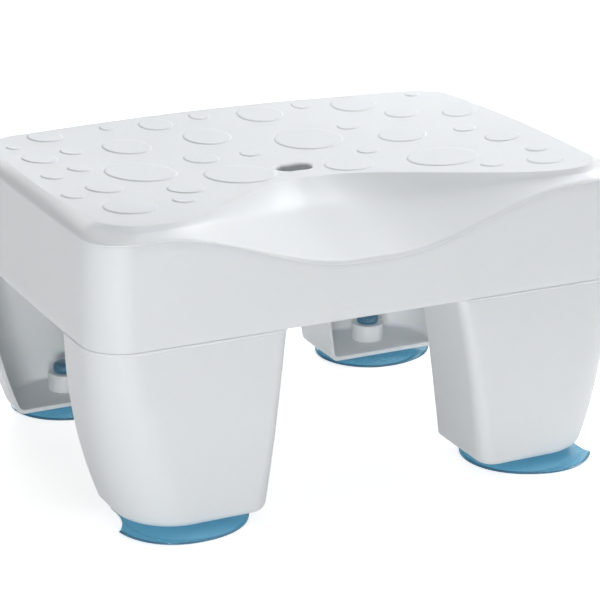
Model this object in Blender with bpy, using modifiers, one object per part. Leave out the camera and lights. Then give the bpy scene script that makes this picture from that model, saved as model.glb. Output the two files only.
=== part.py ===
"""Bath seat: a dished, moulded seat on four channel legs, each standing on a suction cup.

Units are metres, +Z is up, +X runs to the right along the front and +Y to the back.
The origin lies on the floor under the middle of the seat.
"""
import math

import bmesh
import bpy
from mathutils import Matrix, Vector

# Gaps between pieces
GAP = 0.0003
SPIGOT_GAP = 0.0005
NECK_GAP = 0.0003
SCREW_GAP = 0.0003

# Seat shell
SEAT_WIDTH = 0.400
SEAT_DEPTH = 0.286
RIM_HEIGHT = 0.2125
SEAM_HEIGHT = 0.132
SEAT_WALL = 0.003
SKIRT_DRAFT = 0.020
CORNER_RADIUS = 0.028
SIDE_BOW = 0.002
BACK_BOW = 0.010

# Dished top inside the rounded edge
EDGE_INSET = 0.0085
EDGE_DROP = 0.0092
TOP_SIDE_BOW = 0.0083
TOP_BACK_BOW = 0.018
DISH_DEPTH = 0.0105
DISH_LEVEL_ENDS = 0.9

# Scoop in the front edge; the falls and rises are shares of its whole drop
SCOOP_REACH = 0.087
SCOOP_INNER = 0.008
SCOOP_OUTER = 0.152
STEP_RUN = 0.0055
STEP_FALL = 0.28
STEP_HOLLOW = 0.68
LIP_RUN = 0.006
LIP_RISE = 0.20
LIP_LIMIT = 0.3
LIP_DROP = 0.0333
LIP_INNER = 0.015
LIP_OUTER = 0.155

# Drain slot
SLOT_LENGTH = 0.029
SLOT_WIDTH = 0.017
SLOT_Y = -0.015

# Raised round pads: radius, sides of the circle and centres for each size
PAD_RISE = 0.0010
PAD_ROOT = 0.0012
PADS = {
    "huge": (0.0259, 28, [(-0.108, 0.006), (0.041, 0.045), (-0.044, -0.020), (0.101, -0.050)]),
    "large": (0.0183, 24, [(-0.093, 0.071), (-0.152, -0.086), (0.032, 0.112), (-0.027, 0.077),
                           (0.109, 0.106), (0.106, 0.020), (0.037, -0.029)]),
    "middle": (0.0133, 20, [(-0.142, 0.109), (-0.165, 0.054), (-0.053, 0.114), (-0.149, -0.031),
                            (-0.052, 0.030), (-0.096, -0.046), (0.132, 0.070), (0.169, 0.046),
                            (0.162, -0.030), (0.154, -0.102)]),
    "small": (0.0086, 16, [(-0.136, 0.069), (-0.147, 0.024), (-0.173, 0.005), (-0.177, -0.047),
                           (-0.014, 0.122), (-0.013, 0.030), (-0.110, -0.077), (0.071, 0.119),
                           (0.081, 0.060), (0.151, 0.006), (0.066, -0.002), (0.165, -0.073),
                           (0.118, -0.090)]),
    "tiny": (0.0058, 14, [(-0.173, 0.087), (-0.091, 0.117), (0.162, 0.108)]),
}

# Ribs under the seat
RIB_THICKNESS = 0.0025
RIB_LIFT = 0.002
CORE_FOOT = 0.100

# Legs
LEG_WALL = 0.003
FLOOR_HEIGHT = 0.0073
FLOOR_THICKNESS = 0.003
LEG_TOP_WIDTH = 0.1375
LEG_TOP_DEPTH = 0.0567
LEG_INNER_TUCK = 0.0214
LEG_SIDE_TUCK = 0.0255
LEG_SIDE_CURVE = 2.15
LEG_SPLAY = 0.003
LEG_INNER_CORNER = 0.006
LEG_FOOT_CORNER = 0.040
FOOT_FILLET = 0.005
BEAD_PROUD = 0.0007
BEAD_HEIGHT = 0.0014
SPIGOT_HEIGHT = 0.018

# Bar across the top of each leg, and its screws
BAR_THICKNESS = 0.003
SCREW_INNER_INSET = 0.108
SCREW_OUTER_INSET = 0.032
SCREW_RISE = 0.010
SCREW_RADIUS = 0.0019
SCREW_LENGTH = 0.014
SCREW_TIP = 0.003
HEAD_RADIUS = 0.0040
HEAD_HEIGHT = 0.0026
PILLAR_RADIUS = 0.0050
PILLAR_LENGTH = 0.010
PILLAR_SIDES = 16
BORE_SIDES = 12
SCREW_STEPS = 16

# Suction cups, and the boss that holds each one
CUP_SIDE_INSET = 0.070
CUP_END_INSET = 0.025
CUP_RADIUS = 0.0442
CUP_LAND = 0.0027
CUP_EDGE = 0.0010
CUP_HOLLOW = 0.0036
CUP_SHOULDER = 0.015
NECK_RADIUS = 0.0067
BOSS_RADIUS = 0.01475
BOSS_TOP = 0.0200
BUTTON_RADIUS = 0.0098
BUTTON_HEIGHT = 0.0097
TAB_REACH = 0.0055
TAB_HALF_WIDTH = 0.021
TAB_NOTCH = 0.0045
TAB_THICKNESS = 0.0018
TAB_FLOOR_GAP = 0.0003
TAB_LIFT = 0.0032
CUP_STEPS = 36
BOSS_SIDES = 32

# Places that follow the sides of the seat
HALF_X = SEAT_WIDTH / 2
HALF_Y = SEAT_DEPTH / 2
LEG_INNER_TOP = HALF_X - LEG_TOP_WIDTH
LEG_INNER_FOOT = LEG_INNER_TOP + LEG_INNER_TUCK
LEG_OPEN_EDGE = HALF_Y - LEG_TOP_DEPTH
SCREW_INNER_X = HALF_X - SCREW_INNER_INSET
SCREW_OUTER_X = HALF_X - SCREW_OUTER_INSET
CUP_X = HALF_X - CUP_SIDE_INSET
CUP_Y = HALF_Y - CUP_END_INSET

# Shapes as shares: of radius and height on turned pieces, of height or reach elsewhere
BUTTON_SHAPE = ((0.55, 1.0), (0.88, 0.86), (1.0, 0.58), (1.0, 0.25), (0.92, 0.0))
FLANK_SHAPE = ((0.40, 0.72), (0.75, 0.36))
HOLLOW_SHAPE = ((0.85, 0.42), (0.60, 0.78), (0.30, 0.95))
HEAD_SHAPE = ((0.6, 0.9), (1.0, 0.45))
LEG_LEVELS = (0.15, 0.3, 0.5, 0.75)
EDGE_LEVELS = (0.85, 0.6, 0.3)
TOP_LEVELS = (0.8, 0.6, 0.4, 0.2)
TAB_LEVELS = (0.0, 0.4, 0.75, 1.0)

# Each leg: sign of X, sign of Y, and the direction of its cup's pull tab in degrees
LEGS = {
    "front_left": (-1, -1, 167),
    "front_right": (1, -1, -13),
    "rear_left": (-1, 1, 30),
    "rear_right": (1, 1, 30),
}

WHITE = (0.84, 0.86, 0.88)
BLUE = (0.16, 0.47, 0.66)
STEEL = (0.62, 0.62, 0.60)
SMOOTH_ANGLE = math.radians(35)


def clear_scene():
    """Remove whatever the scene holds."""
    for obj in list(bpy.data.objects):
        bpy.data.objects.remove(obj, do_unlink=True)


def make_collection(name):
    """New collection linked to the scene."""
    collection = bpy.data.collections.new(name)
    bpy.context.scene.collection.children.link(collection)
    return collection


def make_material(name, color, roughness, metallic=0.0, transmission=0.0):
    """Principled material of one colour."""
    material = bpy.data.materials.new(name)
    material.use_nodes = True
    shader = material.node_tree.nodes["Principled BSDF"]
    shader.inputs["Base Color"].default_value = (*color, 1.0)
    shader.inputs["Roughness"].default_value = roughness
    shader.inputs["Metallic"].default_value = metallic
    shader.inputs["Transmission Weight"].default_value = transmission
    material.diffuse_color = (*color, 1.0)
    return material


def shade(mesh, material):
    """Give a mesh its material, and smooth shading between sharp edges."""
    mesh.materials.clear()
    mesh.materials.append(material)
    mesh.shade_smooth()
    mesh.set_sharp_from_angle(angle=SMOOTH_ANGLE)
    return mesh


def add_object(name, mesh, collection):
    """Object that shows a mesh."""
    obj = bpy.data.objects.new(name, mesh)
    collection.objects.link(obj)
    return obj


def add_cutter(name, mesh, collection):
    """Helper solid that other solids are joined with or cut by."""
    obj = add_object(name, mesh, collection)
    obj.hide_render = True
    obj.display_type = 'WIRE'
    return obj


def add_boolean(obj, operand, operation):
    """Exact Boolean modifier."""
    modifier = obj.modifiers.new(f"{operation.lower()}_{operand.name}", 'BOOLEAN')
    modifier.operation = operation
    modifier.solver = 'EXACT'
    modifier.object = operand


def evaluated_mesh(obj, name):
    """Mesh of an object with its modifiers applied."""
    graph = bpy.context.evaluated_depsgraph_get()
    mesh = bpy.data.meshes.new_from_object(obj.evaluated_get(graph))
    mesh.name = name
    return mesh


def mirrored_mesh(obj, name):
    """Mesh of an object with its modifiers applied, mirrored across the YZ plane."""
    shape = bmesh.new()
    shape.from_mesh(evaluated_mesh(obj, f"{name}_source"))
    bmesh.ops.scale(shape, vec=(-1.0, 1.0, 1.0), verts=shape.verts)
    bmesh.ops.reverse_faces(shape, faces=shape.faces)
    return mesh_of(shape, name)


def mesh_of(shape, name):
    """Mesh of a bmesh, which is freed. Flat triangles keep every cut between pieces clean."""
    bmesh.ops.triangulate(shape, faces=shape.faces)
    mesh = bpy.data.meshes.new(name)
    shape.to_mesh(mesh)
    shape.free()
    return mesh


def add_block(shape, low, high):
    """Box between two corners, from a cube."""
    low, high = Vector(low), Vector(high)
    size = high - low
    place = Matrix.Translation((low + high) / 2) @ Matrix.Diagonal((*size, 1.0))
    bmesh.ops.create_cube(shape, size=1.0, matrix=place)


def add_rod(shape, start, end, radius, sides):
    """Round bar between two points, from a cylinder."""
    start, end = Vector(start), Vector(end)
    axis = end - start
    turn = Vector((0.0, 0.0, 1.0)).rotation_difference(axis).to_matrix().to_4x4()
    place = Matrix.Translation((start + end) / 2) @ turn
    bmesh.ops.create_cone(shape, cap_ends=True, segments=sides, radius1=radius, radius2=radius,
                          depth=axis.length, matrix=place)


def add_loft(shape, rings, close_start=True, close_end=True):
    """Skin through closed rings of points, with a face at each end that is closed."""
    levels = [[shape.verts.new(point) for point in ring] for ring in rings]
    count = len(levels[0])
    for lower, upper in zip(levels, levels[1:]):
        for i in range(count):
            j = (i + 1) % count
            shape.faces.new((lower[i], lower[j], upper[j], upper[i]))
    if close_start:
        shape.faces.new(list(reversed(levels[0])))
    if close_end:
        shape.faces.new(levels[-1])
    return levels


def turned_mesh(profile, steps, name, collection):
    """Solid turned about Z from (radius, height) points that run down the outer side."""
    mesh = bpy.data.meshes.new(name)
    points = [(radius, 0.0, height) for radius, height in profile]
    edges = [(i, i + 1) for i in range(len(points) - 1)]
    mesh.from_pydata(points, edges, [])
    source = add_object(name, mesh, collection)
    screw = source.modifiers.new("turn", 'SCREW')
    screw.steps = steps
    screw.render_steps = steps
    screw.use_merge_vertices = True
    screw.merge_threshold = 0.00001
    turned = evaluated_mesh(source, name)
    bpy.data.objects.remove(source, do_unlink=True)
    return turned


def mix(a, b, t):
    """Value between a and b."""
    return a + (b - a) * t


def smoothstep(value, low, high):
    """0 below low, 1 above high, with a smooth rise between them."""
    t = min(max((value - low) / (high - low), 0.0), 1.0)
    return t * t * (3.0 - 2.0 * t)


def bowed(x, y, half_x, half_y, side_bow, back_bow):
    """Point of a plan outline whose sides and back bulge in the middle.

    The bow pulls the corners in. It leaves the legs' inner walls and open edges straight.
    """
    share_x = max(abs(x) - LEG_INNER_FOOT, 0.0) / (half_x - LEG_INNER_FOOT)
    share_y = max(y - LEG_OPEN_EDGE, 0.0) / (half_y - LEG_OPEN_EDGE)
    pull_x = math.copysign(side_bow * share_x * (y / half_y) ** 2, x)
    return x - pull_x, y - back_bow * share_y * (x / half_x) ** 2


def arc(center_x, center_y, radius, start, steps):
    """Points of a quarter circle, from a start angle in degrees, anticlockwise."""
    angles = [math.radians(start + 90.0 * i / steps) for i in range(steps + 1)]
    return [(center_x + radius * math.cos(a), center_y + radius * math.sin(a)) for a in angles]


def spaced(start, end, count):
    """Evenly spaced values between two ends, ends left out."""
    return [mix(start, end, i / count) for i in range(1, count)]


def plan_ring(half_x, half_y, radius, side_bow, back_bow):
    """Rounded rectangle, anticlockwise from the left end of the front run.

    Every ring has the same number of points, and the points of the front run lie at
    the same share of its length.
    """
    front, side, back, corner = 24, 4, 12, 6
    left, right = radius - half_x, half_x - radius
    near, far = radius - half_y, half_y - radius
    ring = [(x, -half_y) for x in spaced(left, right, front)]
    ring += arc(right, near, radius, -90, corner)
    ring += [(half_x, y) for y in spaced(near, far, side)]
    ring += arc(right, far, radius, 0, corner)
    ring += [(x, half_y) for x in spaced(right, left, back)]
    ring += arc(left, far, radius, 90, corner)
    ring += [(-half_x, y) for y in spaced(far, near, side)]
    ring += arc(left, near, radius, 180, corner)
    return [bowed(x, y, half_x, half_y, side_bow, back_bow) for x, y in ring]


EDGE_HEIGHT = RIM_HEIGHT - EDGE_DROP
SEAM_GROWTH = SKIRT_DRAFT * (EDGE_HEIGHT - SEAM_HEIGHT)


def dish_height(x, y):
    """Height of the dished top: lowest in the middle and level with the rim at its sides."""
    across = min(abs(x) / (HALF_X - EDGE_INSET), 1.0) ** 2
    along = min(abs(y) / (HALF_Y - EDGE_INSET), 1.0) ** 2
    return RIM_HEIGHT - DISH_DEPTH * (1.0 - across) * (1.0 - DISH_LEVEL_ENDS * along)


def scoop_edge(x):
    """How far the dished top's front edge is pulled back at x."""
    return SCOOP_REACH * (1.0 - smoothstep(abs(x), SCOOP_INNER, SCOOP_OUTER))


def lip_height(x):
    """Height of the skirt's top edge along the front."""
    return EDGE_HEIGHT - LIP_DROP * (1.0 - smoothstep(abs(x), LIP_INNER, LIP_OUTER))


def frontness(y):
    """1 along the front of an outer ring, falling to 0 round its front corners."""
    return 1.0 - smoothstep(y, -HALF_Y, CORNER_RADIUS - HALF_Y)


def skirt_ring(growth, height):
    """Plan ring of the skirt, at one height."""
    ring = plan_ring(HALF_X + growth, HALF_Y + growth, CORNER_RADIUS + growth, SIDE_BOW, BACK_BOW)
    return [(x, y, height) for x, y in ring]


def seat_rings():
    """Rings of the seat's outer face, from the seam up and in to the middle of the top."""
    seam = skirt_ring(SEAM_GROWTH, SEAM_HEIGHT)
    edge = []
    for x, y, height in skirt_ring(0.0, EDGE_HEIGHT):
        edge.append((x, y, mix(height, lip_height(x), frontness(y))))
    top_x, top_y = HALF_X - EDGE_INSET, HALF_Y - EDGE_INSET
    plan = plan_ring(top_x, top_y, CORNER_RADIUS, TOP_SIDE_BOW, TOP_BACK_BOW)
    top = []
    for x, y in plan:
        pulled = y + (scoop_edge(x) if y < CORNER_RADIUS - top_y else 0.0)
        top.append((x, pulled, dish_height(x, pulled)))
    rings = [seam, edge]
    sections = [edge_section(low, high) for low, high in zip(edge, top)]
    rings += [list(ring) for ring in zip(*sections)]
    rings.append(top)
    middle_y = SCOOP_REACH / 2
    for share in TOP_LEVELS:
        ring = []
        for x, y, _ in top:
            inner_y = mix(middle_y, y, share)
            ring.append((x * share, inner_y, dish_height(x * share, inner_y)))
        rings.append(ring)
    return rings, (0.0, middle_y, dish_height(0.0, middle_y))


def round_section(low, high):
    """Points on a quarter ellipse between the skirt's top edge and the dished top."""
    points = []
    for share in EDGE_LEVELS:
        out, up = math.sin(share * math.pi / 2), math.cos(share * math.pi / 2)
        points.append((mix(high[0], low[0], out), mix(high[1], low[1], out),
                       mix(low[2], high[2], up)))
    return points


def scoop_section(low, high):
    """Points between the front lip and the dished top.

    They lie at the shoulder of the rounded lip, at the foot of the step that rises to
    the top, and half way along the step, which is hollow.
    """
    run = high[1] - low[1]
    shoulder = min(LIP_RUN / run, LIP_LIMIT)
    foot = 1.0 - min(STEP_RUN / run, LIP_LIMIT)
    points = []
    for share, rise in ((shoulder, LIP_RISE), (foot, 1.0 - STEP_FALL),
                        (mix(foot, 1.0, 1 / 2), 1.0 - STEP_FALL * STEP_HOLLOW)):
        points.append(tuple(mix(low[i], high[i], (share, share, rise)[i]) for i in range(3)))
    return points


def edge_section(low, high):
    """Points between the skirt's top edge and the dished top, from the edge up."""
    straight = frontness(low[1])
    if straight == 0.0:
        return round_section(low, high)
    points = []
    for rounded, scooped in zip(round_section(low, high), scoop_section(low, high)):
        points.append(tuple(mix(a, b, straight) for a, b in zip(rounded, scooped)))
    return points


def add_seat_skin(shape, rings, middle, closed):
    """Outer face of the seat, open at the bottom unless closed."""
    levels = add_loft(shape, rings, close_start=closed, close_end=False)
    peak = shape.verts.new(middle)
    last = levels[-1]
    for i, vertex in enumerate(last):
        shape.faces.new((vertex, last[(i + 1) % len(last)], peak))


def seat_core(cutters):
    """Solid that fills the seat to the middle of its wall, which the ribs are trimmed to."""
    rings, middle = seat_rings()
    rings.insert(0, skirt_ring(SEAM_GROWTH, CORE_FOOT))
    shape = bmesh.new()
    add_seat_skin(shape, rings, middle, closed=True)
    half_wall = SEAT_WALL / 2
    shrink = (1.0 - half_wall / HALF_X, 1.0 - half_wall / HALF_Y, 1.0 - half_wall / RIM_HEIGHT)
    bmesh.ops.scale(shape, vec=shrink, verts=shape.verts)
    return add_cutter("seat_core", mesh_of(shape, "seat_core"), cutters)


def rib_planes():
    """Middle planes of the ribs that frame the legs: X of one pair, Y of the other."""
    half_rib = RIB_THICKNESS / 2
    along = LEG_INNER_TOP + SEAT_WALL + SPIGOT_GAP - GAP - half_rib
    across = LEG_OPEN_EDGE - GAP - half_rib
    return along, across


def rib_cutters(core, cutters):
    """Two pairs of upright ribs under the seat, trimmed to the core."""
    along, across = rib_planes()
    half_rib = RIB_THICKNESS / 2
    foot = SEAM_HEIGHT + RIB_LIFT
    along_shape = bmesh.new()
    across_shape = bmesh.new()
    for sign in (-1, 1):
        add_block(along_shape, (sign * along - half_rib, -SEAT_DEPTH, foot),
                  (sign * along + half_rib, SEAT_DEPTH, 2 * RIM_HEIGHT))
        add_block(across_shape, (-SEAT_WIDTH, sign * across - half_rib, foot),
                  (SEAT_WIDTH, sign * across + half_rib, 2 * RIM_HEIGHT))
    ribs = []
    for name, shape in (("ribs_along", along_shape), ("ribs_across", across_shape)):
        rib = add_cutter(name, mesh_of(shape, name), cutters)
        add_boolean(rib, core, 'INTERSECT')
        ribs.append(rib)
    return ribs


def pad_cutter(cutters):
    """All the raised round pads, each lying square to the dished top."""
    shape = bmesh.new()
    reach = 0.001
    for radius, sides, centers in PADS.values():
        for x, y in centers:
            slope_x = (dish_height(x + reach, y) - dish_height(x - reach, y)) / (2 * reach)
            slope_y = (dish_height(x, y + reach) - dish_height(x, y - reach)) / (2 * reach)
            normal = Vector((-slope_x, -slope_y, 1.0)).normalized()
            surface = Vector((x, y, dish_height(x, y)))
            add_rod(shape, surface - normal * PAD_ROOT, surface + normal * PAD_RISE, radius, sides)
    return add_cutter("pads", mesh_of(shape, "pads"), cutters)


def slot_cutter(cutters):
    """Upright solid with round ends that cuts the drain slot."""
    radius = SLOT_WIDTH / 2
    half_run = SLOT_LENGTH / 2 - radius
    half_circle = 8
    outline = []
    for center, start in ((half_run, -90), (-half_run, 90)):
        for i in range(half_circle + 1):
            angle = math.radians(start + 180.0 * i / half_circle)
            outline.append((center + radius * math.cos(angle), SLOT_Y + radius * math.sin(angle)))
    shape = bmesh.new()
    add_loft(shape, [[(x, y, height) for x, y in outline] for height in (SEAM_HEIGHT, 2 * RIM_HEIGHT)])
    return add_cutter("slot", mesh_of(shape, "slot"), cutters)


def screw_places(sign_x, sign_y):
    """Where each screw's axis crosses the face of the cross rib that its head lies on."""
    _, across = rib_planes()
    y = sign_y * (across - RIB_THICKNESS / 2)
    height = SEAM_HEIGHT + SCREW_RISE
    return [(sign_x * x, y, height) for x in (SCREW_INNER_X, SCREW_OUTER_X)]


def screw_hole_cutter(cutters):
    """Clearance holes for all the leg screws, through the cross ribs."""
    shape = bmesh.new()
    radius = SCREW_RADIUS + SCREW_GAP
    for sign_x, sign_y, _ in LEGS.values():
        for x, y, height in screw_places(sign_x, sign_y):
            reach = 2 * RIB_THICKNESS * sign_y
            add_rod(shape, (x, y - reach, height), (x, y + reach, height), radius, BORE_SIDES)
    return add_cutter("screw_holes", mesh_of(shape, "screw_holes"), cutters)


def build_seat(parts, cutters, material):
    """Seat shell: outer face thickened inwards, with ribs, pads, drain slot and screw holes."""
    rings, middle = seat_rings()
    shape = bmesh.new()
    add_seat_skin(shape, rings, middle, closed=False)
    seat = add_object("seat_shell", shade(mesh_of(shape, "seat_shell"), material), parts)
    wall = seat.modifiers.new("wall", 'SOLIDIFY')
    wall.thickness = SEAT_WALL
    wall.offset = -1.0
    wall.use_even_offset = True
    seat.modifiers.new("flat_faces", 'TRIANGULATE')
    core = seat_core(cutters)
    for rib in rib_cutters(core, cutters):
        add_boolean(seat, rib, 'UNION')
    add_boolean(seat, screw_hole_cutter(cutters), 'DIFFERENCE')
    add_boolean(seat, pad_cutter(cutters), 'UNION')
    add_boolean(seat, slot_cutter(cutters), 'DIFFERENCE')
    return seat


def leg_section(height, inset, open_edge, sign_y):
    """Closed plan section of a right leg, from the open end of its inner wall to its side.

    The section is moved in by the inset on its three walled sides. A leg tapers on its
    inner and outer sides, and splays a little towards the front or back.
    """
    fall = 1.0 - min(height / SEAM_HEIGHT, 1.0)
    growth = SEAM_GROWTH - SKIRT_DRAFT * max(height - SEAM_HEIGHT, 0.0)
    inner = mix(LEG_INNER_TOP, LEG_INNER_FOOT, fall) + inset
    outer = HALF_X + growth - LEG_SIDE_TUCK * fall ** LEG_SIDE_CURVE - inset
    face = HALF_Y + growth + LEG_SPLAY * fall - inset
    inner_radius = max(LEG_INNER_CORNER - inset, 0.001)
    top_radius = CORNER_RADIUS + growth
    outer_radius = max(mix(top_radius, LEG_FOOT_CORNER, min(2 * fall, 1.0)) - inset, 0.001)
    path = [(inner, open_edge)]
    path += reversed(arc(inner + inner_radius, face - inner_radius, inner_radius, 90, 3))
    path += [(x, face) for x in spaced(inner + inner_radius, outer - outer_radius, 4)]
    path += reversed(arc(outer - outer_radius, face - outer_radius, outer_radius, 0, 6))
    path += [(outer, mix(face - outer_radius, open_edge, 0.5)), (outer, open_edge)]
    bow = BACK_BOW if sign_y > 0 else 0.0
    half_x, half_y = HALF_X + growth - inset, HALF_Y + growth - inset
    section = []
    for x, y in path:
        x, y = bowed(x, y, half_x, half_y, SIDE_BOW, bow)
        section.append((x, sign_y * y, height))
    return section


def foot_levels(floor, fillet):
    """Height and inset pairs of a rounded foot edge, from the floor up."""
    pairs = []
    for i in range(4):
        angle = math.radians(30.0 * i)
        pairs.append((floor + fillet * (1.0 - math.cos(angle)), fillet * (1.0 - math.sin(angle))))
    return pairs


def leg_block(sign_y):
    """Outer form of a leg: rounded foot, tapered walls, bead, shoulder and spigot."""
    shoulder = SEAM_HEIGHT - GAP
    spigot_inset = SEAT_WALL + SPIGOT_GAP
    levels = foot_levels(FLOOR_HEIGHT, FOOT_FILLET)
    levels += [(mix(FLOOR_HEIGHT, shoulder, share), 0.0) for share in LEG_LEVELS]
    levels += [(shoulder - 1.5 * BEAD_HEIGHT, 0.0), (shoulder - BEAD_HEIGHT, -BEAD_PROUD),
               (shoulder - BEAD_HEIGHT / 2, -BEAD_PROUD), (shoulder - GAP, 0.0),
               (shoulder, spigot_inset), (SEAM_HEIGHT + SPIGOT_HEIGHT, spigot_inset)]
    return [leg_section(height, inset, LEG_OPEN_EDGE, sign_y) for height, inset in levels]


def leg_hollow(sign_y):
    """Inner form of a leg, which runs out past its open edge and its top."""
    floor = FLOOR_HEIGHT + FLOOR_THICKNESS
    fillet = max(FOOT_FILLET - LEG_WALL, 0.001)
    joggle = SEAM_HEIGHT - GAP - LEG_WALL
    spigot_inset = SEAT_WALL + SPIGOT_GAP + LEG_WALL
    levels = [(height, inset + LEG_WALL) for height, inset in foot_levels(floor, fillet)]
    levels += [(mix(floor, joggle, share), LEG_WALL) for share in LEG_LEVELS]
    levels += [(joggle - LEG_WALL, LEG_WALL), (joggle, spigot_inset),
               (SEAM_HEIGHT + 2 * SPIGOT_HEIGHT, spigot_inset)]
    past = LEG_OPEN_EDGE - 4 * LEG_WALL
    return [leg_section(height, inset, past, sign_y) for height, inset in levels]


def add_bar(shape, sign_y):
    """Bar that closes the open side of a right leg's spigot."""
    inner = LEG_INNER_TOP + SEAT_WALL + SPIGOT_GAP + LEG_WALL / 2
    outer = HALF_X - SEAT_WALL - SPIGOT_GAP - LEG_WALL / 2
    edges = sorted((sign_y * (LEG_OPEN_EDGE + GAP), sign_y * (LEG_OPEN_EDGE + BAR_THICKNESS)))
    add_block(shape, (inner, edges[0], SEAM_HEIGHT),
              (outer, edges[1], SEAM_HEIGHT + SPIGOT_HEIGHT - GAP))


def build_leg(name, sign_y, parts, cutters, material):
    """One right leg: block less hollow, with its bar, screw bosses and cup boss."""
    side = "front" if sign_y < 0 else "rear"
    shape = bmesh.new()
    add_loft(shape, leg_block(sign_y))
    bmesh.ops.recalc_face_normals(shape, faces=shape.faces)
    leg = add_object(name, shade(mesh_of(shape, name), material), parts)
    shape = bmesh.new()
    add_loft(shape, leg_hollow(sign_y))
    bmesh.ops.recalc_face_normals(shape, faces=shape.faces)
    hollow = add_cutter(f"{side}_hollow", mesh_of(shape, f"{side}_hollow"), cutters)
    add_boolean(leg, hollow, 'DIFFERENCE')
    shape = bmesh.new()
    add_bar(shape, sign_y)
    bar = add_cutter(f"{side}_bar", mesh_of(shape, f"{side}_bar"), cutters)
    add_boolean(leg, bar, 'UNION')
    shape = bmesh.new()
    axis_y = sign_y * CUP_Y
    base = FLOOR_HEIGHT + FLOOR_THICKNESS / 2
    add_rod(shape, (CUP_X, axis_y, base), (CUP_X, axis_y, BOSS_TOP), BOSS_RADIUS, BOSS_SIDES)
    for x, y, height in screw_places(1, sign_y):
        start = sign_y * (LEG_OPEN_EDGE + BAR_THICKNESS / 2)
        end = sign_y * (LEG_OPEN_EDGE + BAR_THICKNESS + PILLAR_LENGTH)
        add_rod(shape, (x, start, height), (x, end, height), PILLAR_RADIUS, PILLAR_SIDES)
    bosses = add_cutter(f"{side}_bosses", mesh_of(shape, f"{side}_bosses"), cutters)
    add_boolean(leg, bosses, 'UNION')
    shape = bmesh.new()
    add_rod(shape, (CUP_X, axis_y, 0.0), (CUP_X, axis_y, 2 * BOSS_TOP), NECK_RADIUS + NECK_GAP,
            BOSS_SIDES)
    for x, y, height in screw_places(1, sign_y):
        end = sign_y * (LEG_OPEN_EDGE + BAR_THICKNESS + 2 * PILLAR_LENGTH)
        add_rod(shape, (x, y, height), (x, end, height), SCREW_RADIUS + SCREW_GAP, BORE_SIDES)
    bores = add_cutter(f"{side}_bores", mesh_of(shape, f"{side}_bores"), cutters)
    add_boolean(leg, bores, 'DIFFERENCE')
    return leg


def cup_profile():
    """Half section of a cup, down its outer side and back to the axis under the bell."""
    shoulder = FLOOR_HEIGHT - GAP
    head_foot = BOSS_TOP + GAP
    land = CUP_RADIUS - CUP_LAND
    profile = [(0.0, head_foot + BUTTON_HEIGHT)]
    profile += [(BUTTON_RADIUS * out, head_foot + BUTTON_HEIGHT * up) for out, up in BUTTON_SHAPE]
    profile += [(NECK_RADIUS, head_foot), (NECK_RADIUS, shoulder), (CUP_SHOULDER, shoulder)]
    for out, up in FLANK_SHAPE:
        profile.append((mix(CUP_SHOULDER, CUP_RADIUS, out), mix(CUP_EDGE, shoulder, up)))
    profile += [(CUP_RADIUS, CUP_EDGE), (CUP_RADIUS, 0.0), (land, 0.0)]
    profile += [(land * out, CUP_HOLLOW * up) for out, up in HOLLOW_SHAPE]
    profile.append((0.0, CUP_HOLLOW))
    return profile


def tab_rings():
    """Sections of the pull tab, from the cup's rim out to its end.

    The tab's sides are tangents to the rim. Its end is hollowed between two corners,
    which lift off the floor.
    """
    end = CUP_RADIUS + TAB_REACH
    corner_angle = math.atan2(TAB_HALF_WIDTH, end)
    spread = corner_angle + math.acos(CUP_RADIUS / math.hypot(TAB_HALF_WIDTH, end))
    root_radius = CUP_RADIUS - CUP_LAND / 2
    across = [i / 4 for i in range(-4, 5)]
    rings = []
    for share in TAB_LEVELS:
        low, high = [], []
        for t in across:
            root_x, root_y = root_radius * math.cos(spread * t), root_radius * math.sin(spread * t)
            x = mix(root_x, end - TAB_NOTCH * (1.0 - t * t), share)
            y = mix(root_y, TAB_HALF_WIDTH * t, share)
            foot = TAB_FLOOR_GAP + TAB_LIFT * (share * t) ** 2
            low.append((x, y, foot))
            high.append((x, y, foot + TAB_THICKNESS))
        rings.append(low + high[::-1])
    return rings


def cup_mesh(cutters):
    """Bell, neck and button turned about Z, joined with a pull tab that points along +X."""
    turned = turned_mesh(cup_profile(), CUP_STEPS, "cup_turned", cutters)
    body = add_cutter("cup_body", turned, cutters)
    shape = bmesh.new()
    add_loft(shape, tab_rings())
    bmesh.ops.recalc_face_normals(shape, faces=shape.faces)
    tab = add_cutter("cup_tab", mesh_of(shape, "cup_tab"), cutters)
    add_boolean(body, tab, 'UNION')
    bpy.context.view_layer.update()
    return evaluated_mesh(body, "suction_cup")


def screw_mesh(cutters):
    """Pan-headed self-tapping screw along Z: the head's flat lies at Z 0, the shank below."""
    profile = [(0.0, HEAD_HEIGHT)]
    profile += [(HEAD_RADIUS * out, HEAD_HEIGHT * up) for out, up in HEAD_SHAPE]
    profile += [(HEAD_RADIUS, 0.0), (SCREW_RADIUS, 0.0), (SCREW_RADIUS, SCREW_TIP - SCREW_LENGTH),
                (0.0, -SCREW_LENGTH)]
    return turned_mesh(profile, SCREW_STEPS, "leg_screw", cutters)


def build_screws(place, sign_x, sign_y, mesh, parts):
    """The two screws of one leg, pointing through the cross rib into the leg's bar."""
    for side, (x, y, height) in zip(("inner", "outer"), screw_places(sign_x, sign_y)):
        screw = add_object(f"leg_screw_{place}_{side}", mesh, parts)
        screw.location = (x, y - sign_y * GAP, height)
        screw.rotation_euler.x = math.radians(90.0 * sign_y)


def build_cup(name, sign_x, sign_y, tab_angle, mesh, parts):
    """One suction cup, with its origin on the axis that it turns about."""
    cup = add_object(name, mesh, parts)
    cup.location = (sign_x * CUP_X, sign_y * CUP_Y, 0.0)
    cup.rotation_euler.z = math.radians(tab_angle)
    return cup


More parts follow.
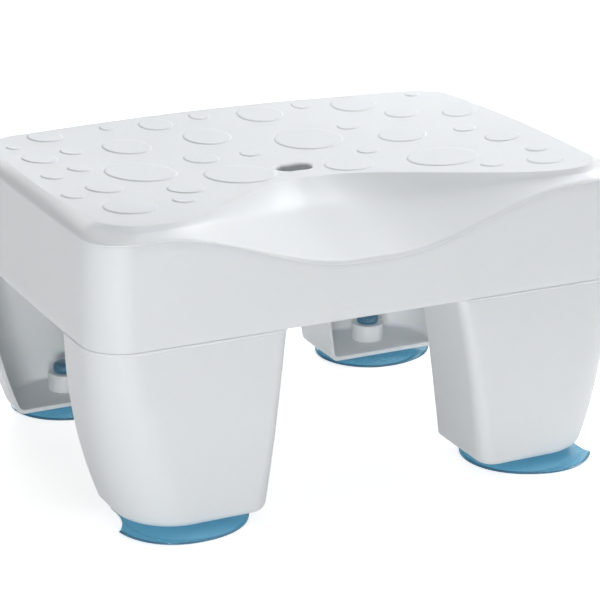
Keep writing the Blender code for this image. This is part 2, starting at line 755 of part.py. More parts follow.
def main():
    """Build the whole bath seat."""
    clear_scene()
    parts = make_collection("bath_seat")
    cutters = make_collection("cutters")
    white = make_material("white_moulding", WHITE, 0.38)
    blue = make_material("blue_rubber", BLUE, 0.18, transmission=0.6)
    steel = make_material("stainless_steel", STEEL, 0.30, metallic=1.0)
    build_seat(parts, cutters, white)
    cup = shade(cup_mesh(cutters), blue)
    screw = shade(screw_mesh(cutters), steel)
    for side, sign_y in (("front", -1), ("rear", 1)):
        leg = build_leg(f"leg_{side}_right", sign_y, parts, cutters, white)
        bpy.context.view_layer.update()
        mirrored = shade(mirrored_mesh(leg, f"leg_{side}_left"), white)
        add_object(f"leg_{side}_left", mirrored, parts)
    for place, (sign_x, sign_y, tab_angle) in LEGS.items():
        build_screws(place, sign_x, sign_y, screw, parts)
        build_cup(f"suction_cup_{place}", sign_x, sign_y, tab_angle, cup, parts)


main()
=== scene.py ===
"""Looks of the bath seat: a white moulded seat on four channel legs with blue suction cups.

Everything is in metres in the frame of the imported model: +X runs to the right along the
front, +Y to the back and +Z up, and the origin is on the floor under the seat's middle.
"""
import math

import bpy
import numpy as np
from bpy.props import FloatProperty, FloatVectorProperty, PointerProperty
from mathutils import Matrix, Vector


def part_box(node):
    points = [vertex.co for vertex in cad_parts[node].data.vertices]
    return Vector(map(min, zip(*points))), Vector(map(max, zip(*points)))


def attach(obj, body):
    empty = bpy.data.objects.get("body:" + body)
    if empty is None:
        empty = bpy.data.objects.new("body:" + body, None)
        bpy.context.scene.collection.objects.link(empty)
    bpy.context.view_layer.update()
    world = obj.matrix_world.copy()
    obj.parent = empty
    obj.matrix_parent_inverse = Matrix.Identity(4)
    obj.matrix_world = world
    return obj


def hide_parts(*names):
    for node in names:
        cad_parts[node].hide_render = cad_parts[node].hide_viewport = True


bl_info = {
    "name": "Bath seat",
    "version": (1, 0, 0),
    "blender": (4, 5, 0),
    "location": "3D View > Sidebar > Bath seat",
    "description": "Builds the visible pieces of a moulded bath seat on suction cups",
    "category": "Add Mesh",
}

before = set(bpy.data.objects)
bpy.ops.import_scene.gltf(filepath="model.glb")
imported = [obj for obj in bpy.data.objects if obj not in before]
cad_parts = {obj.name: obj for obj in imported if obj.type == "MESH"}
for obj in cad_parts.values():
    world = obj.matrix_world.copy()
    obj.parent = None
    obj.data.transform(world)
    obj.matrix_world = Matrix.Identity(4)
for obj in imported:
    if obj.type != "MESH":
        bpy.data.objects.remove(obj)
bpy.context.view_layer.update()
SEAM_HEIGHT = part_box("seat_shell")[0].z
LEG_LOW, LEG_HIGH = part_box("leg_front_right")
FLOOR_HEIGHT = LEG_LOW.z  # of the leg's own floor

# Sign of X, sign of Y and direction of the pull tab in degrees at each leg
PLACES = {
    "front_left": (-1, -1, 167.0),
    "front_right": (1, -1, -10.0),
    "rear_left": (-1, 1, 30.0),
    "rear_right": (1, 1, 30.0),
}
CUP_X, CUP_Y = 0.130, 0.118  # middle of a cup from the seat's middle

# Round pads on the seat: radius and centres
PADS = (
    (0.0259, ((-0.108, 0.006), (0.041, 0.045), (-0.044, -0.020), (0.101, -0.050))),
    (0.0183, ((-0.093, 0.071), (-0.152, -0.086), (0.032, 0.112), (-0.027, 0.077),
              (0.109, 0.106), (0.106, 0.020), (0.037, -0.029))),
    (0.0133, ((-0.142, 0.109), (-0.165, 0.054), (-0.053, 0.114), (-0.149, -0.031),
              (-0.052, 0.030), (-0.096, -0.046), (0.132, 0.070), (0.169, 0.046),
              (0.162, -0.030), (0.154, -0.102))),
    (0.0086, ((-0.136, 0.069), (-0.147, 0.024), (-0.173, 0.005), (-0.177, -0.047),
              (-0.014, 0.122), (-0.013, 0.030), (-0.110, -0.077), (0.071, 0.119),
              (0.081, 0.060), (0.151, 0.006), (0.066, -0.002), (0.165, -0.073),
              (0.118, -0.090))),
    (0.0058, ((-0.173, 0.087), (-0.091, 0.117), (0.162, 0.108))),
)

# Clearance of loose fits, and between a leg's spigot and the skirt
GAP = 0.0003
SPIGOT_GAP = 0.0005

# How finely the seat's outline is divided
FRONT_STEPS, SIDE_STEPS, BACK_STEPS, CORNER_STEPS = 128, 30, 64, 16

# Seat's outline: how far its sides and back bow out, at the skirt and round the top
SIDE_BOW, BACK_BOW = 0.002, 0.010
TOP_SIDE_BOW, TOP_BACK_BOW = 0.0083, 0.018
DISH_LEVEL_ENDS = 0.9  # share of the dish's depth that is gone at the front and back
CREASE_SHARE = 0.5     # share of the edge's height by which it falls steeply at the crease

# Hidden side of the wall: shares of its inset by which the edge sinks and the top's
# outline moves, as the edge is rounded
HIDDEN_SINK, HIDDEN_DRAW = 0.8, 0.4

# Scoop: where its reach and the lip's dip begin and end to each side of the middle
SCOOP_INNER, SCOOP_OUTER = 0.008, 0.152
LIP_INNER, LIP_OUTER = 0.015, 0.155
# Its first step and its lip: run, share of the fall, and power of the step's hollow
STEP_RUN, STEP_FALL, STEP_CURVE = 0.028, 0.30, 2.2
LIP_RUN, LIP_RISE = 0.0018, 0.06
RUN_LIMIT = 0.3                       # most of the whole run that either takes up
SLOPE_START, SLOPE_END = 0.35, 0.72   # shares of the rows between step and lip
STEP_CROWDING = 1.3                   # power that crowds rows at the crease
SHORTEST_RUN = 0.0001
# Two faint sink marks down the scoop, and the shares of its run where they fade
SINK_PLACE, SINK_DEPTH, SINK_WIDTH = 0.067, 0.00010, 0.0022
SINK_FADES = ((0.25, 0.45), (0.80, 0.95))

# Rows of the top and of its hidden side, and the shares of the edge at which rows lie
TOP_ROWS, HIDDEN_TOP_ROWS = 44, 30
EDGE_SHARES = (0.012, 0.035, *np.linspace(0.07, 0.93, 30), 0.965, 1.0)
HIDDEN_EDGE_SHARES = np.linspace(0.1, 1.0, 12)

# Skirt: groove under the front lip, its fade to the back, and the rounded foot
GROOVE_WIDTH, GROOVE_DEPTH, GROOVE_FADE = 0.0012, 0.00035, 0.045
FOOT_ROUND = 0.0001
HIDDEN_FOOT_X, HIDDEN_FOOT_Y = 0.17, 0.11  # where the hidden foot has all its draft

# Top: distances of the rows along its outline, the rounded mouth of the slot, the
# place behind it from which rows are matched, and the pads' soft edge and hidden foot
RIM_ROWS = (0.0, 0.0003, 0.0009, 0.0022, 0.0045)
SLOT_ROUND, MATCH_Y = 0.0026, 0.030
PAD_EDGE, PAD_FOOT, PAD_GRAIN = 0.0014, -0.0005, 0.9
# Columns round a large pad and a small one, and the radius that divides them
LARGE_PAD_COLUMNS, SMALL_PAD_COLUMNS, SMALL_PAD = 64, 40, 0.01

# Ribs under the seat
RIB_THICKNESS, RIB_FOOT, RIB_END = 0.0025, 0.002, 0.001

# Legs: how far each wall is set in at the seam, tucks in or splays at the foot, and the
# power of its curve, then the radii of the corners
LEG_WALL = 0.003
LEG_INNER_SET, LEG_INNER_TUCK, LEG_INNER_CURVE = 0.0015, 0.0199, 0.85
LEG_SIDE_TUCK, LEG_SIDE_CURVE = 0.0255, 2.15
LEG_SPLAY, LEG_SPLAY_CURVE = 0.0072, 2.4
LEG_INNER_CORNER, LEG_INNER_SPREAD, LEG_FOOT_CORNER = 0.008, 0.006, 0.040
LEAST_RADIUS = 0.001
FOOT_FILLET, INNER_FILLET = 0.005, 0.003
FLOOR_THICKNESS = 0.003
BEAD_PROUD, BEAD_HEIGHT, BEAD_ROUNDING = 0.0005, 0.0014, 0.35
BEAD_GROOVE_DEPTH, BEAD_GROOVE_HEIGHT = 0.00035, 0.0006
SEAM_GAP = 0.00005
SPIGOT_ROW = 0.0006  # from the shoulder up to the spigot's next row
BAR_THICKNESS = 0.003
PILLAR_RADIUS, PILLAR_LENGTH, PILLAR_ROUND = 0.0050, 0.010, 0.0004
BOSS_RADIUS, BOSS_TOP, BOSS_ROUND = 0.0128, 0.0237, 0.0009
BORE_ROUND = 0.0003
BOSS_COLUMNS, BORE_COLUMNS = 96, 32
RIM_ROUND = 0.00045

# Suction cups
CUP_RADIUS = 0.0427
CUP_LAND, CUP_EDGE, CUP_HOLLOW = 0.0027, 0.0010, 0.0036
CUP_SHOULDER, NECK_RADIUS = 0.015, 0.0067
BELL_CURVE, HOLLOW_CURVE = 1.45, 2.2
BUTTON_RADIUS, BUTTON_HEIGHT = 0.0088, 0.0075
# Button's profile in shares of its radius and height: its top, its rounded edge (where
# it starts from and how far it goes) and its side
BUTTON_TOP = ((0.25, 0.995), (0.5, 0.985))
BUTTON_EDGE = ((0.58, 0.42), (0.50, 0.47))
BUTTON_SIDE = ((1.0, 0.20), (0.97, 0.06), (0.90, 0.0))
NECK_ROUND, NECK_FILLET, SHOULDER_ROUND = 0.0004, 0.0006, 0.0008
TAB_REACH, TAB_HALF_WIDTH, TAB_NOTCH, TAB_SPREAD = 0.0055, 0.0200, 0.0045, 1.75
TAB_THICKNESS, TAB_LIFT, TAB_FLOOR_GAP, TAB_ROUND = 0.0016, 0.0010, 0.0003, 0.0003
TAB_LENGTH = TAB_REACH + 0.004  # to its corners

# Screws
SCREW_RADIUS, SCREW_LENGTH, SCREW_TIP = 0.0019, 0.014, 0.003
HEAD_RADIUS, HEAD_HEIGHT, HEAD_EDGE = 0.0040, 0.0026, 0.0003
HEAD_CROWN = 0.80  # of the head's squared height, gone at its rim
RECESS_DEPTH = 0.0014
RECESS_SIDE, RECESS_END = (0.0003, 0.0006), (0.0019, 0.0024)  # where it runs out
THREAD_PITCH, THREAD_DEPTH = 0.0014, 0.0005
THREAD_START = (0.001, 0.003)  # depths below the head between which it grows
SHANK_TOP = 0.0006             # depth of the shank's first row
TIP_BLUNT = 0.0006             # how far past the tip its taper would close

# Angles in degrees between two faces above which a piece's edge is drawn sharp
SEAT_SHARP, RIB_SHARP, LEG_SHARP, CUP_SHARP, SCREW_SHARP = 60.0, 30.0, 32.0, 50.0, 40.0

# Camera: place, then yaw, pitch down and roll in degrees, lens and sensor in millimetres
CAMERA_PLACE = (-0.6403, -1.3519, 0.6083)
CAMERA_TURN = (25.765, 18.844, 0.044)
CAMERA_LENS, CAMERA_SENSOR, CAMERA_REACH = 129.91, 36.0, 20.0

# Floor: half its side, its height, and where it turns pure white to the eye
FLOOR_SPAN, FLOOR_LEVEL = 2.4, -0.0002
FLOOR_FADE = (0.5, 1.1)
WHITE = (1.0, 1.0, 1.0, 1.0)

# Lamps: name, size and place, all turned to one point
LAMP_TARGET = (0.0, 0.0, 0.12)
LAMPS = (
    ("key", 0.8, (1.0, 0.3, 1.3)),
    ("right", 0.6, (1.6, -0.7, 0.2)),
    ("front", 0.6, (-0.9, -1.7, 0.12)),
    ("left", 0.7, (-1.50, -0.35, 0.22)),
    ("back", 0.8, (0.10, 1.60, 0.80)),
    ("over", 1.0, (0.0, 0.10, 1.70)),
)

LEG_INNER_TOP = LEG_LOW.x + LEG_INNER_SET
LEG_INNER_FOOT = LEG_INNER_TOP + LEG_INNER_TUCK
LEG_OPEN_EDGE = -LEG_HIGH.y


# Sizes and finishes that a user may change

def length_prop(name, description, default, low, high):
    """Property for a length in metres."""
    return FloatProperty(name=name, description=description, default=default, min=low, max=high,
                         unit='LENGTH')


def share_prop(name, description, default):
    """Property for a share from 0 to 1."""
    return FloatProperty(name=name, description=description, default=default, min=0.0, max=1.0,
                         subtype='FACTOR')


def color_prop(name, description, default):
    """Property for a colour."""
    return FloatVectorProperty(name=name, description=description, default=default, min=0.0,
                               max=1.0, size=3, subtype='COLOR')


def power_prop(name, description, default):
    """Property for the power of a lamp in watts."""
    return FloatProperty(name=name, description=description, default=default, min=0.0,
                         unit='POWER')


class SeatSizes(bpy.types.PropertyGroup):
    """Sizes of the seat moulding."""

    width: length_prop("Width", "Width of the seat at the rim", 0.400, 0.3, 0.6)
    depth: length_prop("Depth", "Depth of the seat at the rim", 0.286, 0.2, 0.4)
    rim_height: length_prop("Rim height", "Height of the rim of the dish", 0.2125, 0.15, 0.4)
    edge_drop: length_prop("Edge drop", "Height of the rounded edge", 0.0092, 0.002, 0.03)
    edge_inset: length_prop("Edge inset", "Width of the rounded edge", 0.0085, 0.002, 0.03)
    corner: length_prop("Corner radius", "Radius of the corners in plan", 0.028, 0.01, 0.06)
    draft: FloatProperty(name="Draft", description="How much the skirt widens per metre of fall",
                         default=0.020, min=0.0, max=0.1)
    wall: length_prop("Wall", "Wall thickness of the moulding", 0.003, 0.001, 0.006)
    dish: length_prop("Dish", "Depth of the dished top", 0.0105, 0.0, 0.02)
    scoop: length_prop("Scoop", "Reach of the front scoop into the top", 0.087, 0.0, 0.12)
    lip_drop: length_prop("Lip drop", "How far the front lip dips", 0.0333, 0.0, 0.06)
    slot_length: length_prop("Slot length", "Length of the drain slot", 0.0265, 0.018, 0.06)
    slot_width: length_prop("Slot width", "Width of the drain slot", 0.017, 0.005, 0.03)
    slot_y: length_prop("Slot place", "Place of the drain slot front to back", -0.015, -0.04, 0.08)
    pad_rise: length_prop("Pad rise", "How far the round pads stand up", 0.0008, 0.0002, 0.003)


class Finishes(bpy.types.PropertyGroup):
    """Colours and gloss of the pieces."""

    moulding: color_prop("Moulding", "Colour of the white mouldings", (0.865, 0.895, 0.915))
    rubber: color_prop("Cups", "Colour of the suction cups where thin", (0.23, 0.57, 0.74))
    rubber_body: color_prop("Cup depth colour", "Colour that the cups deepen to where thick",
                            (0.10, 0.60, 0.80))
    rubber_depth: FloatProperty(name="Cup density", default=110.0, min=0.0, max=2000.0,
                                description="How fast the cups darken with their thickness")
    steel: color_prop("Screws", "Colour of the screws", (0.62, 0.61, 0.59))
    glow: share_prop("Glow", "How much light spreads inside the white moulding", 0.2)
    gloss_roughness: share_prop("Skirt roughness", "Roughness of the smooth faces", 0.44)
    grain_roughness: share_prop("Top roughness", "Roughness of the grained top", 0.68)
    grain_depth: length_prop("Grain depth", "Depth of the grain on the top", 0.00006, 0.0, 0.0005)


class StageLights(bpy.types.PropertyGroup):
    """Strength of the lamps and the surroundings."""

    key: power_prop("Key", "Power of the high lamp at the right", 17.2)
    right: power_prop("Right", "Power of the low lamp at the right", 4.0)
    front: power_prop("Front", "Power of the low lamp at the front left", 21.0)
    left: power_prop("Left", "Power of the low lamp at the left", 2.0)
    back: power_prop("Back", "Power of the lamp behind the seat", 8.0)
    over: power_prop("Over", "Power of the lamp over the seat", 3.6)
    surround: FloatProperty(name="Surroundings", description="Strength of the pale surroundings",
                            default=0.07, min=0.0)
    floor: color_prop("Floor", "Colour of the floor", (0.95, 0.95, 0.95))
    floor_glow: share_prop("Floor white", "White added to the floor where the eye meets it", 0.72)


class BathSeatSettings(bpy.types.PropertyGroup):
    """All the settings of the bath seat."""

    seat: PointerProperty(type=SeatSizes, name="Seat", description="Sizes of the seat")
    finish: PointerProperty(type=Finishes, name="Finish", description="Colours and gloss")
    lights: PointerProperty(type=StageLights, name="Lights", description="Lamps and floor")


# Curves and surfaces worked out as whole arrays

def mix(a, b, share):
    """Straight blend: a at share 0, b at share 1."""
    return a + (b - a) * share


def smooth_rise(value, low, high):
    """0 below low and 1 above high; between them 3t^2 - 2t^3 of the share t."""
    t = np.clip((value - low) / (high - low), 0.0, 1.0)
    return t * t * (3.0 - 2.0 * t)


def rounded_plan(half_x, half_y, radius):
    """Rounded rectangle, anticlockwise from the middle of the front.

    Straight runs between quarter circles of one radius; each run and each quarter is
    divided evenly, so outlines of different sizes match point by point.
    """
    right, far = half_x - radius, half_y - radius
    half_front = np.linspace(0.0, 1.0, FRONT_STEPS // 2, endpoint=False)
    side = np.linspace(-1.0, 1.0, SIDE_STEPS, endpoint=False)
    back = np.linspace(1.0, -1.0, BACK_STEPS, endpoint=False)
    turn = np.linspace(0.0, np.pi / 2, CORNER_STEPS, endpoint=False)
    runs = [(right * half_front, np.full_like(half_front, -half_y))]
    corners = ((right, -far, -np.pi / 2), (right, far, 0.0),
               (-right, far, np.pi / 2), (-right, -far, np.pi))
    quarters = [(x + radius * np.cos(start + turn), y + radius * np.sin(start + turn))
                for x, y, start in corners]
    runs += [quarters[0], (np.full_like(side, half_x), far * side)]
    runs += [quarters[1], (right * back, np.full_like(back, half_y))]
    runs += [quarters[2], (np.full_like(side, -half_x), -far * side)]
    runs += [quarters[3], (right * (half_front - 1.0), np.full_like(half_front, -half_y))]
    return tuple(np.concatenate(parts) for parts in zip(*runs))


def bowed(x, y, half_x, half_y, side_bow, back_bow):
    """Pulls the corners of a plan in, so that its sides and back bulge in the middle.

    The pull grows with the square of the distance along the side, and from nothing at
    the legs' straight inner walls and open edges to all of it at the outline.
    """
    share_x = np.clip(np.abs(x) - LEG_INNER_FOOT, 0.0, None) / (half_x - LEG_INNER_FOOT)
    share_y = np.clip(y - LEG_OPEN_EDGE, 0.0, None) / (half_y - LEG_OPEN_EDGE)
    pull = side_bow * share_x * (y / half_y) ** 2
    return x - np.sign(x) * pull, y - back_bow * share_y * (x / half_x) ** 2


def slot_outline(share, radius, half_run):
    """Point at a share of the way round a slot with half-round ends, from its front middle.

    The centre of the rounding slides along the middle line while the angle stands
    still, and stands still while the angle turns.
    """
    half_circle = np.pi * radius
    stops = np.cumsum([0.0, half_run, half_circle, 2 * half_run, half_circle, half_run])
    along = np.asarray(share) * stops[-1]
    center = np.interp(along, stops, half_run * np.array([0.0, 1.0, 1.0, -1.0, -1.0, 0.0]))
    angle = np.interp(along, stops, np.pi * np.array([-0.5, -0.5, 0.5, 0.5, 1.5, 1.5]))
    return center + radius * np.cos(angle), radius * np.sin(angle)


def dish_height(seat, x, y):
    """Height of the dished top: a parabola each way, level with the rim at the sides."""
    across = np.minimum(np.abs(x) / (seat.width / 2 - seat.edge_inset), 1.0) ** 2
    along = np.minimum(np.abs(y) / (seat.depth / 2 - seat.edge_inset), 1.0) ** 2
    return seat.rim_height - seat.dish * (1.0 - across) * (1.0 - DISH_LEVEL_ENDS * along)


def edge_level(seat):
    """Height of the skirt's top edge away from the scoop."""
    return seat.rim_height - seat.edge_drop


def skirt_growth(seat):
    """How much further out the skirt stands at the seam than at its top edge."""
    return seat.draft * (edge_level(seat) - SEAM_HEIGHT)


def scoop_reach(seat, x):
    """How far back the scoop reaches into the top, by a smooth step of |x|."""
    return seat.scoop * (1.0 - smooth_rise(np.abs(x), SCOOP_INNER, SCOOP_OUTER))


def lip_dip(seat, x):
    """How far the front lip dips, by a smooth step of |x|."""
    return seat.lip_drop * (1.0 - smooth_rise(np.abs(x), LIP_INNER, LIP_OUTER))


def edge_loops(seat, inset):
    """The skirt's top edge and the dished top's outline, as (count, 3) arrays.

    An inset moves both inwards for the hidden side of the wall. The edge also sinks by
    most of it, and the top's outline moves by less than half of it.
    """
    half_x, half_y = seat.width / 2, seat.depth / 2
    plan = rounded_plan(half_x - inset, half_y - inset, seat.corner - inset)
    x, y = bowed(*plan, half_x - inset, half_y - inset, SIDE_BOW, BACK_BOW)
    front = 1.0 - smooth_rise(y, -half_y, seat.corner - half_y)
    low = np.stack([x, y, edge_level(seat) - lip_dip(seat, x) * front - HIDDEN_SINK * inset],
                   axis=-1)
    draw = HIDDEN_DRAW * inset
    top_x, top_y = half_x - seat.edge_inset, half_y - seat.edge_inset
    plan = rounded_plan(top_x - draw, top_y - draw, seat.corner - draw)
    x, y = bowed(*plan, top_x - draw, top_y - draw, TOP_SIDE_BOW, TOP_BACK_BOW)
    straight = y < seat.corner - top_y
    y = y + np.where(straight, scoop_reach(seat, x), 0.0)
    high = np.stack([x, y, dish_height(seat, x, y) - inset], axis=-1)
    return low, high, front


def edge_surface(low, high, front, share):
    """Rows from the dished top's outline (share 0) to the skirt's top edge (share 1).

    At the sides and back a row lies on a quadratic curve that leaves the top at a
    crease and ends upright. Along the front it lies on a hollow step, then a slope,
    then a rounded lip, each over its own part of the run.
    """
    share = share[:, None]
    corner_height = mix(high[:, 2], low[:, 2], CREASE_SHARE)
    ends = (1.0 - share) ** 2
    bend = 2.0 * share * (1.0 - share)
    plan_share = 1.0 - ends
    rounded_z = ends * high[:, 2] + bend * corner_height + share ** 2 * low[:, 2]
    run = np.maximum(high[:, 1] - low[:, 1], SHORTEST_RUN)
    step = np.minimum(STEP_RUN / run, RUN_LIMIT)
    lip = np.minimum(LIP_RUN / run, RUN_LIMIT)
    first = np.clip(share / SLOPE_START, 0.0, 1.0) ** STEP_CROWDING
    second = np.clip((share - SLOPE_START) / (SLOPE_END - SLOPE_START), 0.0, 1.0)
    third = np.clip((share - SLOPE_END) / (1.0 - SLOPE_END), 0.0, 1.0)
    along = step * first + (1.0 - step - lip) * second + lip * third
    fall = STEP_FALL * (1.0 - (1.0 - first) ** STEP_CURVE) + LIP_RISE * third ** 2
    fall = fall + (1.0 - STEP_FALL - LIP_RISE) * along
    front_z = high[:, 2] - fall * (high[:, 2] - low[:, 2])
    plan_share = mix(plan_share, along, front)
    x = mix(high[:, 0], low[:, 0], plan_share)
    y = mix(high[:, 1], low[:, 1], plan_share)
    z = mix(rounded_z, front_z, front)
    return np.stack([x, y, z], axis=-1)


def inward(loop):
    """Unit normals in plan that point into an anticlockwise closed loop."""
    along = np.roll(loop, -1, axis=0) - np.roll(loop, 1, axis=0)
    normal = np.stack([-along[:, 1], along[:, 0]], axis=-1)
    return normal / np.linalg.norm(normal, axis=-1, keepdims=True)


def top_rows(seat, high, drop, rows):
    """Rows of the dished top, from its outline in to the rim of the drain slot.

    The first rows follow the outline at small distances; the others are straight
    blends from there to the slot, matched by the angle seen from behind the slot. The
    slot's mouth is a quarter circle, in rows of its own.
    """
    plan = high[:, :2]
    normal = inward(plan)
    loops = [plan + normal * distance for distance in RIM_ROWS]
    angle = np.unwrap(np.arctan2(plan[:, 1] - MATCH_Y, plan[:, 0]))
    share = (angle - angle[0]) / (2 * np.pi)
    radius, half_run = seat.slot_width / 2, (seat.slot_length - seat.slot_width) / 2

    def slot_row(widened, depth):
        """Row round the slot, widened all round and at a depth below the dish."""
        x, y = slot_outline(share, radius + widened, half_run)
        y = y + seat.slot_y
        return np.stack([x, y, dish_height(seat, x, y) - drop - depth], axis=-1)

    blend = np.linspace(0.0, 1.0, rows)[1:, None, None]
    mouth = slot_row(SLOT_ROUND, 0.0)[:, :2]
    loops = np.concatenate([np.stack(loops), mix(loops[-1], mouth, blend)])
    heights = dish_height(seat, loops[..., 0], loops[..., 1]) - drop
    lips = [slot_row(SLOT_ROUND * (1.0 - math.sin(turn)), SLOT_ROUND * (1.0 - math.cos(turn)))
            for turn in np.linspace(0.0, np.pi / 2, 6)[1:]]
    return np.concatenate([loops, heights[..., None]], axis=-1), np.stack(lips)


def skirt_rows(seat, low):
    """Rows of the skirt's outer face, from its top edge down to the foot.

    A fine groove runs under the front lip: a squared sine across its width. Below it
    the skirt widens evenly to the seam.
    """
    half_x, half_y = seat.width / 2, seat.depth / 2
    growth = skirt_growth(seat)
    weight = 1.0 - smooth_rise(low[:, 1], -half_y, -half_y + GROOVE_FADE)
    rows = []
    for distance in np.linspace(0.0, GROOVE_WIDTH, 7)[1:]:
        share = distance / (low[:, 2] - SEAM_HEIGHT)
        cut = GROOVE_DEPTH * math.sin(math.pi * distance / GROOVE_WIDTH) ** 2
        rows.append((share * growth - cut * weight, low[:, 2] - distance))
    floor = rows[-1][1]
    for share in np.linspace(0.0, 1.0, 11)[1:]:
        height = mix(floor, SEAM_HEIGHT + FOOT_ROUND, share)
        rows.append((growth * (low[:, 2] - height) / (low[:, 2] - SEAM_HEIGHT), height))
    for turn in (math.pi / 4, math.pi / 2):
        rows.append((growth - FOOT_ROUND * (1 - math.cos(turn)) + np.zeros(len(low)),
                     SEAM_HEIGHT + FOOT_ROUND * (1 - math.sin(turn)) + np.zeros(len(low))))
    surface = []
    base = rounded_plan(half_x, half_y, seat.corner)
    wide = rounded_plan(half_x + growth, half_y + growth, seat.corner + growth)
    for grown, height in rows:
        share = grown / growth
        x, y = mix(base[0], wide[0], share), mix(base[1], wide[1], share)
        x, y = bowed(x, y, half_x + growth, half_y + growth, SIDE_BOW, BACK_BOW)
        surface.append(np.stack([x, y, height], axis=-1))
    return np.stack(surface)


def seat_skin(seat):
    """Closed surface of the seat moulding, and how strongly each of its points is grained.

    Rows run from the drain slot out over the top, down the edge, scoop and skirt to
    the foot, and back along the hidden side of the wall; the last row meets the first.
    """
    low, high, front = edge_loops(seat, 0.0)
    top, lip = top_rows(seat, high, 0.0, TOP_ROWS)
    edge = edge_surface(low, high, front, np.array(EDGE_SHARES))
    sink = np.exp(-((np.abs(edge[..., 0]) - SINK_PLACE) / SINK_WIDTH) ** 2)
    along = (high[:, 1] - edge[..., 1]) / np.maximum(high[:, 1] - low[:, 1], SHORTEST_RUN)
    fade = smooth_rise(along, *SINK_FADES[0]) * (1.0 - smooth_rise(along, *SINK_FADES[1]))
    edge[..., 2] -= SINK_DEPTH * sink * fade * front
    skirt = skirt_rows(seat, low)
    outer = np.concatenate([lip[::-1], top[::-1], edge, skirt])
    low, high, front = edge_loops(seat, seat.wall)
    inner_top, _ = top_rows(seat, high, seat.wall, HIDDEN_TOP_ROWS)
    inner_edge = edge_surface(low, high, front, HIDDEN_EDGE_SHARES)
    foot = low.copy()
    for axis, whole in ((0, HIDDEN_FOOT_X), (1, HIDDEN_FOOT_Y)):
        foot[:, axis] += skirt_growth(seat) * np.clip(foot[:, axis] / whole, -1.0, 1.0)
    foot[:, 2] = SEAM_HEIGHT
    wall = mix(low, foot, np.linspace(0.0, 1.0, 8)[1:, None, None])
    slot_foot = lip[-1].copy()
    slot_foot[:, 2] = dish_height(seat, slot_foot[:, 0], slot_foot[:, 1]) - seat.wall
    inner = np.concatenate([slot_foot[None], inner_top[::-1], inner_edge, wall])
    grid = np.concatenate([outer, inner[::-1]])
    grain = np.zeros(grid.shape[:2])
    first = len(lip)
    grain[first:first + len(top) - 1] = 1.0
    return grid, grain


# Meshes from grids

def grid_faces(rows, columns, closed_rows=False, closed_columns=True):
    """Quads between neighbouring rows and columns of a grid, as an array of indices."""
    row = np.arange(rows if closed_rows else rows - 1)
    column = np.arange(columns if closed_columns else columns - 1)
    row, column = np.meshgrid(row, column, indexing="ij")
    next_row, next_column = (row + 1) % rows, (column + 1) % columns
    quads = np.stack([row * columns + column, row * columns + next_column,
                      next_row * columns + next_column, next_row * columns + column], axis=-1)
    return quads.reshape(-1, 4)


def pole_faces(pole, start, columns):
    """Triangles that close a ring of points, which begins at an index, with one pole."""
    here = np.arange(columns)
    after = (here + 1) % columns
    return np.stack([np.full(columns, pole), start + here, start + after], axis=-1)


def closed_shell(grid):
    """Points and faces of a grid whose rows are rings, closed by a pole at each end.

    Each pole is the middle of its end ring.
    """
    rows, columns = grid.shape[:2]
    points = np.concatenate([grid.reshape(-1, 3), grid[:1].mean(axis=1), grid[-1:].mean(axis=1)])
    faces = grid_faces(rows, columns).tolist()
    faces += pole_faces(rows * columns, 0, columns)[:, ::-1].tolist()
    faces += pole_faces(rows * columns + 1, (rows - 1) * columns, columns).tolist()
    return points, faces


def signed_volume(points, faces):
    """Volume inside a closed surface, positive when its faces point outwards."""
    total = 0.0
    for size in (3, 4):
        corners = np.array([face for face in faces if len(face) == size], dtype=int)
        if len(corners):
            a = points[corners[:, 0]]
            for first in range(1, size - 1):
                b, c = points[corners[:, first]], points[corners[:, first + 1]]
                total += np.einsum("ij,ij->i", a, np.cross(b, c)).sum() / 6.0
    return total


def mesh_from(name, shells):
    """Mesh of one or more closed shells of points and faces, all turned outwards."""
    points, faces, start = [], [], 0
    for shell_points, shell_faces in shells:
        if signed_volume(shell_points, shell_faces) < 0.0:
            shell_faces = [face[::-1] for face in shell_faces]
        faces += [[start + index for index in face] for face in shell_faces]
        points.append(shell_points)
        start += len(shell_points)
    mesh = bpy.data.meshes.new(name)
    mesh.from_pydata(np.concatenate(points).tolist(), [], faces)
    mesh.validate()
    return mesh


def add_object(name, data):
    """Object of some data, linked to the scene."""
    obj = bpy.data.objects.new(name, data)
    bpy.context.scene.collection.objects.link(obj)
    return obj


def set_grain(mesh, values):
    """Store how strongly the points are grained, all alike or each, for the finish to read."""
    layer = mesh.attributes.new("grain", 'FLOAT', 'POINT')
    values = np.zeros(len(mesh.vertices), dtype=np.float32) + np.ravel(values)
    layer.data.foreach_set("value", values.astype(np.float32))


def add_piece(mesh, material, body, slot, sharp_angle, *nodes):
    """Object of a finished mesh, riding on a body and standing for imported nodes."""
    mesh.materials.clear()
    mesh.materials.append(material)
    mesh.shade_smooth()
    mesh.set_sharp_from_angle(angle=math.radians(sharp_angle))
    piece = add_object(mesh.name, mesh)
    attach(piece, body)
    if nodes:
        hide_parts(*nodes)
    return piece


def around(radii, angle, heights):
    """Points at radii, angles and heights about Z."""
    return np.stack([radii * np.cos(angle), radii * np.sin(angle),
                     heights + np.zeros_like(angle)], axis=-1)


def ring_grid(radii, heights, columns):
    """Surface of revolution about Z: each radius and height pair swept round a circle."""
    angle = np.linspace(0.0, 2 * np.pi, columns, endpoint=False)
    return around(np.asarray(radii)[:, None], angle, np.asarray(heights)[:, None])


def rod_shell(radius, start, end, rounding, columns=48):
    """Upright rod about Z with both end edges rounded by a quarter circle."""
    turn = np.linspace(0.0, np.pi / 2, 4)
    radii = radius - rounding * (1.0 - np.sin(turn))
    low = start + rounding * (1.0 - np.cos(turn))
    high = end - rounding * (1.0 - np.cos(turn))
    return closed_shell(ring_grid(np.concatenate([radii, radii[::-1]]),
                                  np.concatenate([low, high[::-1]]), columns))


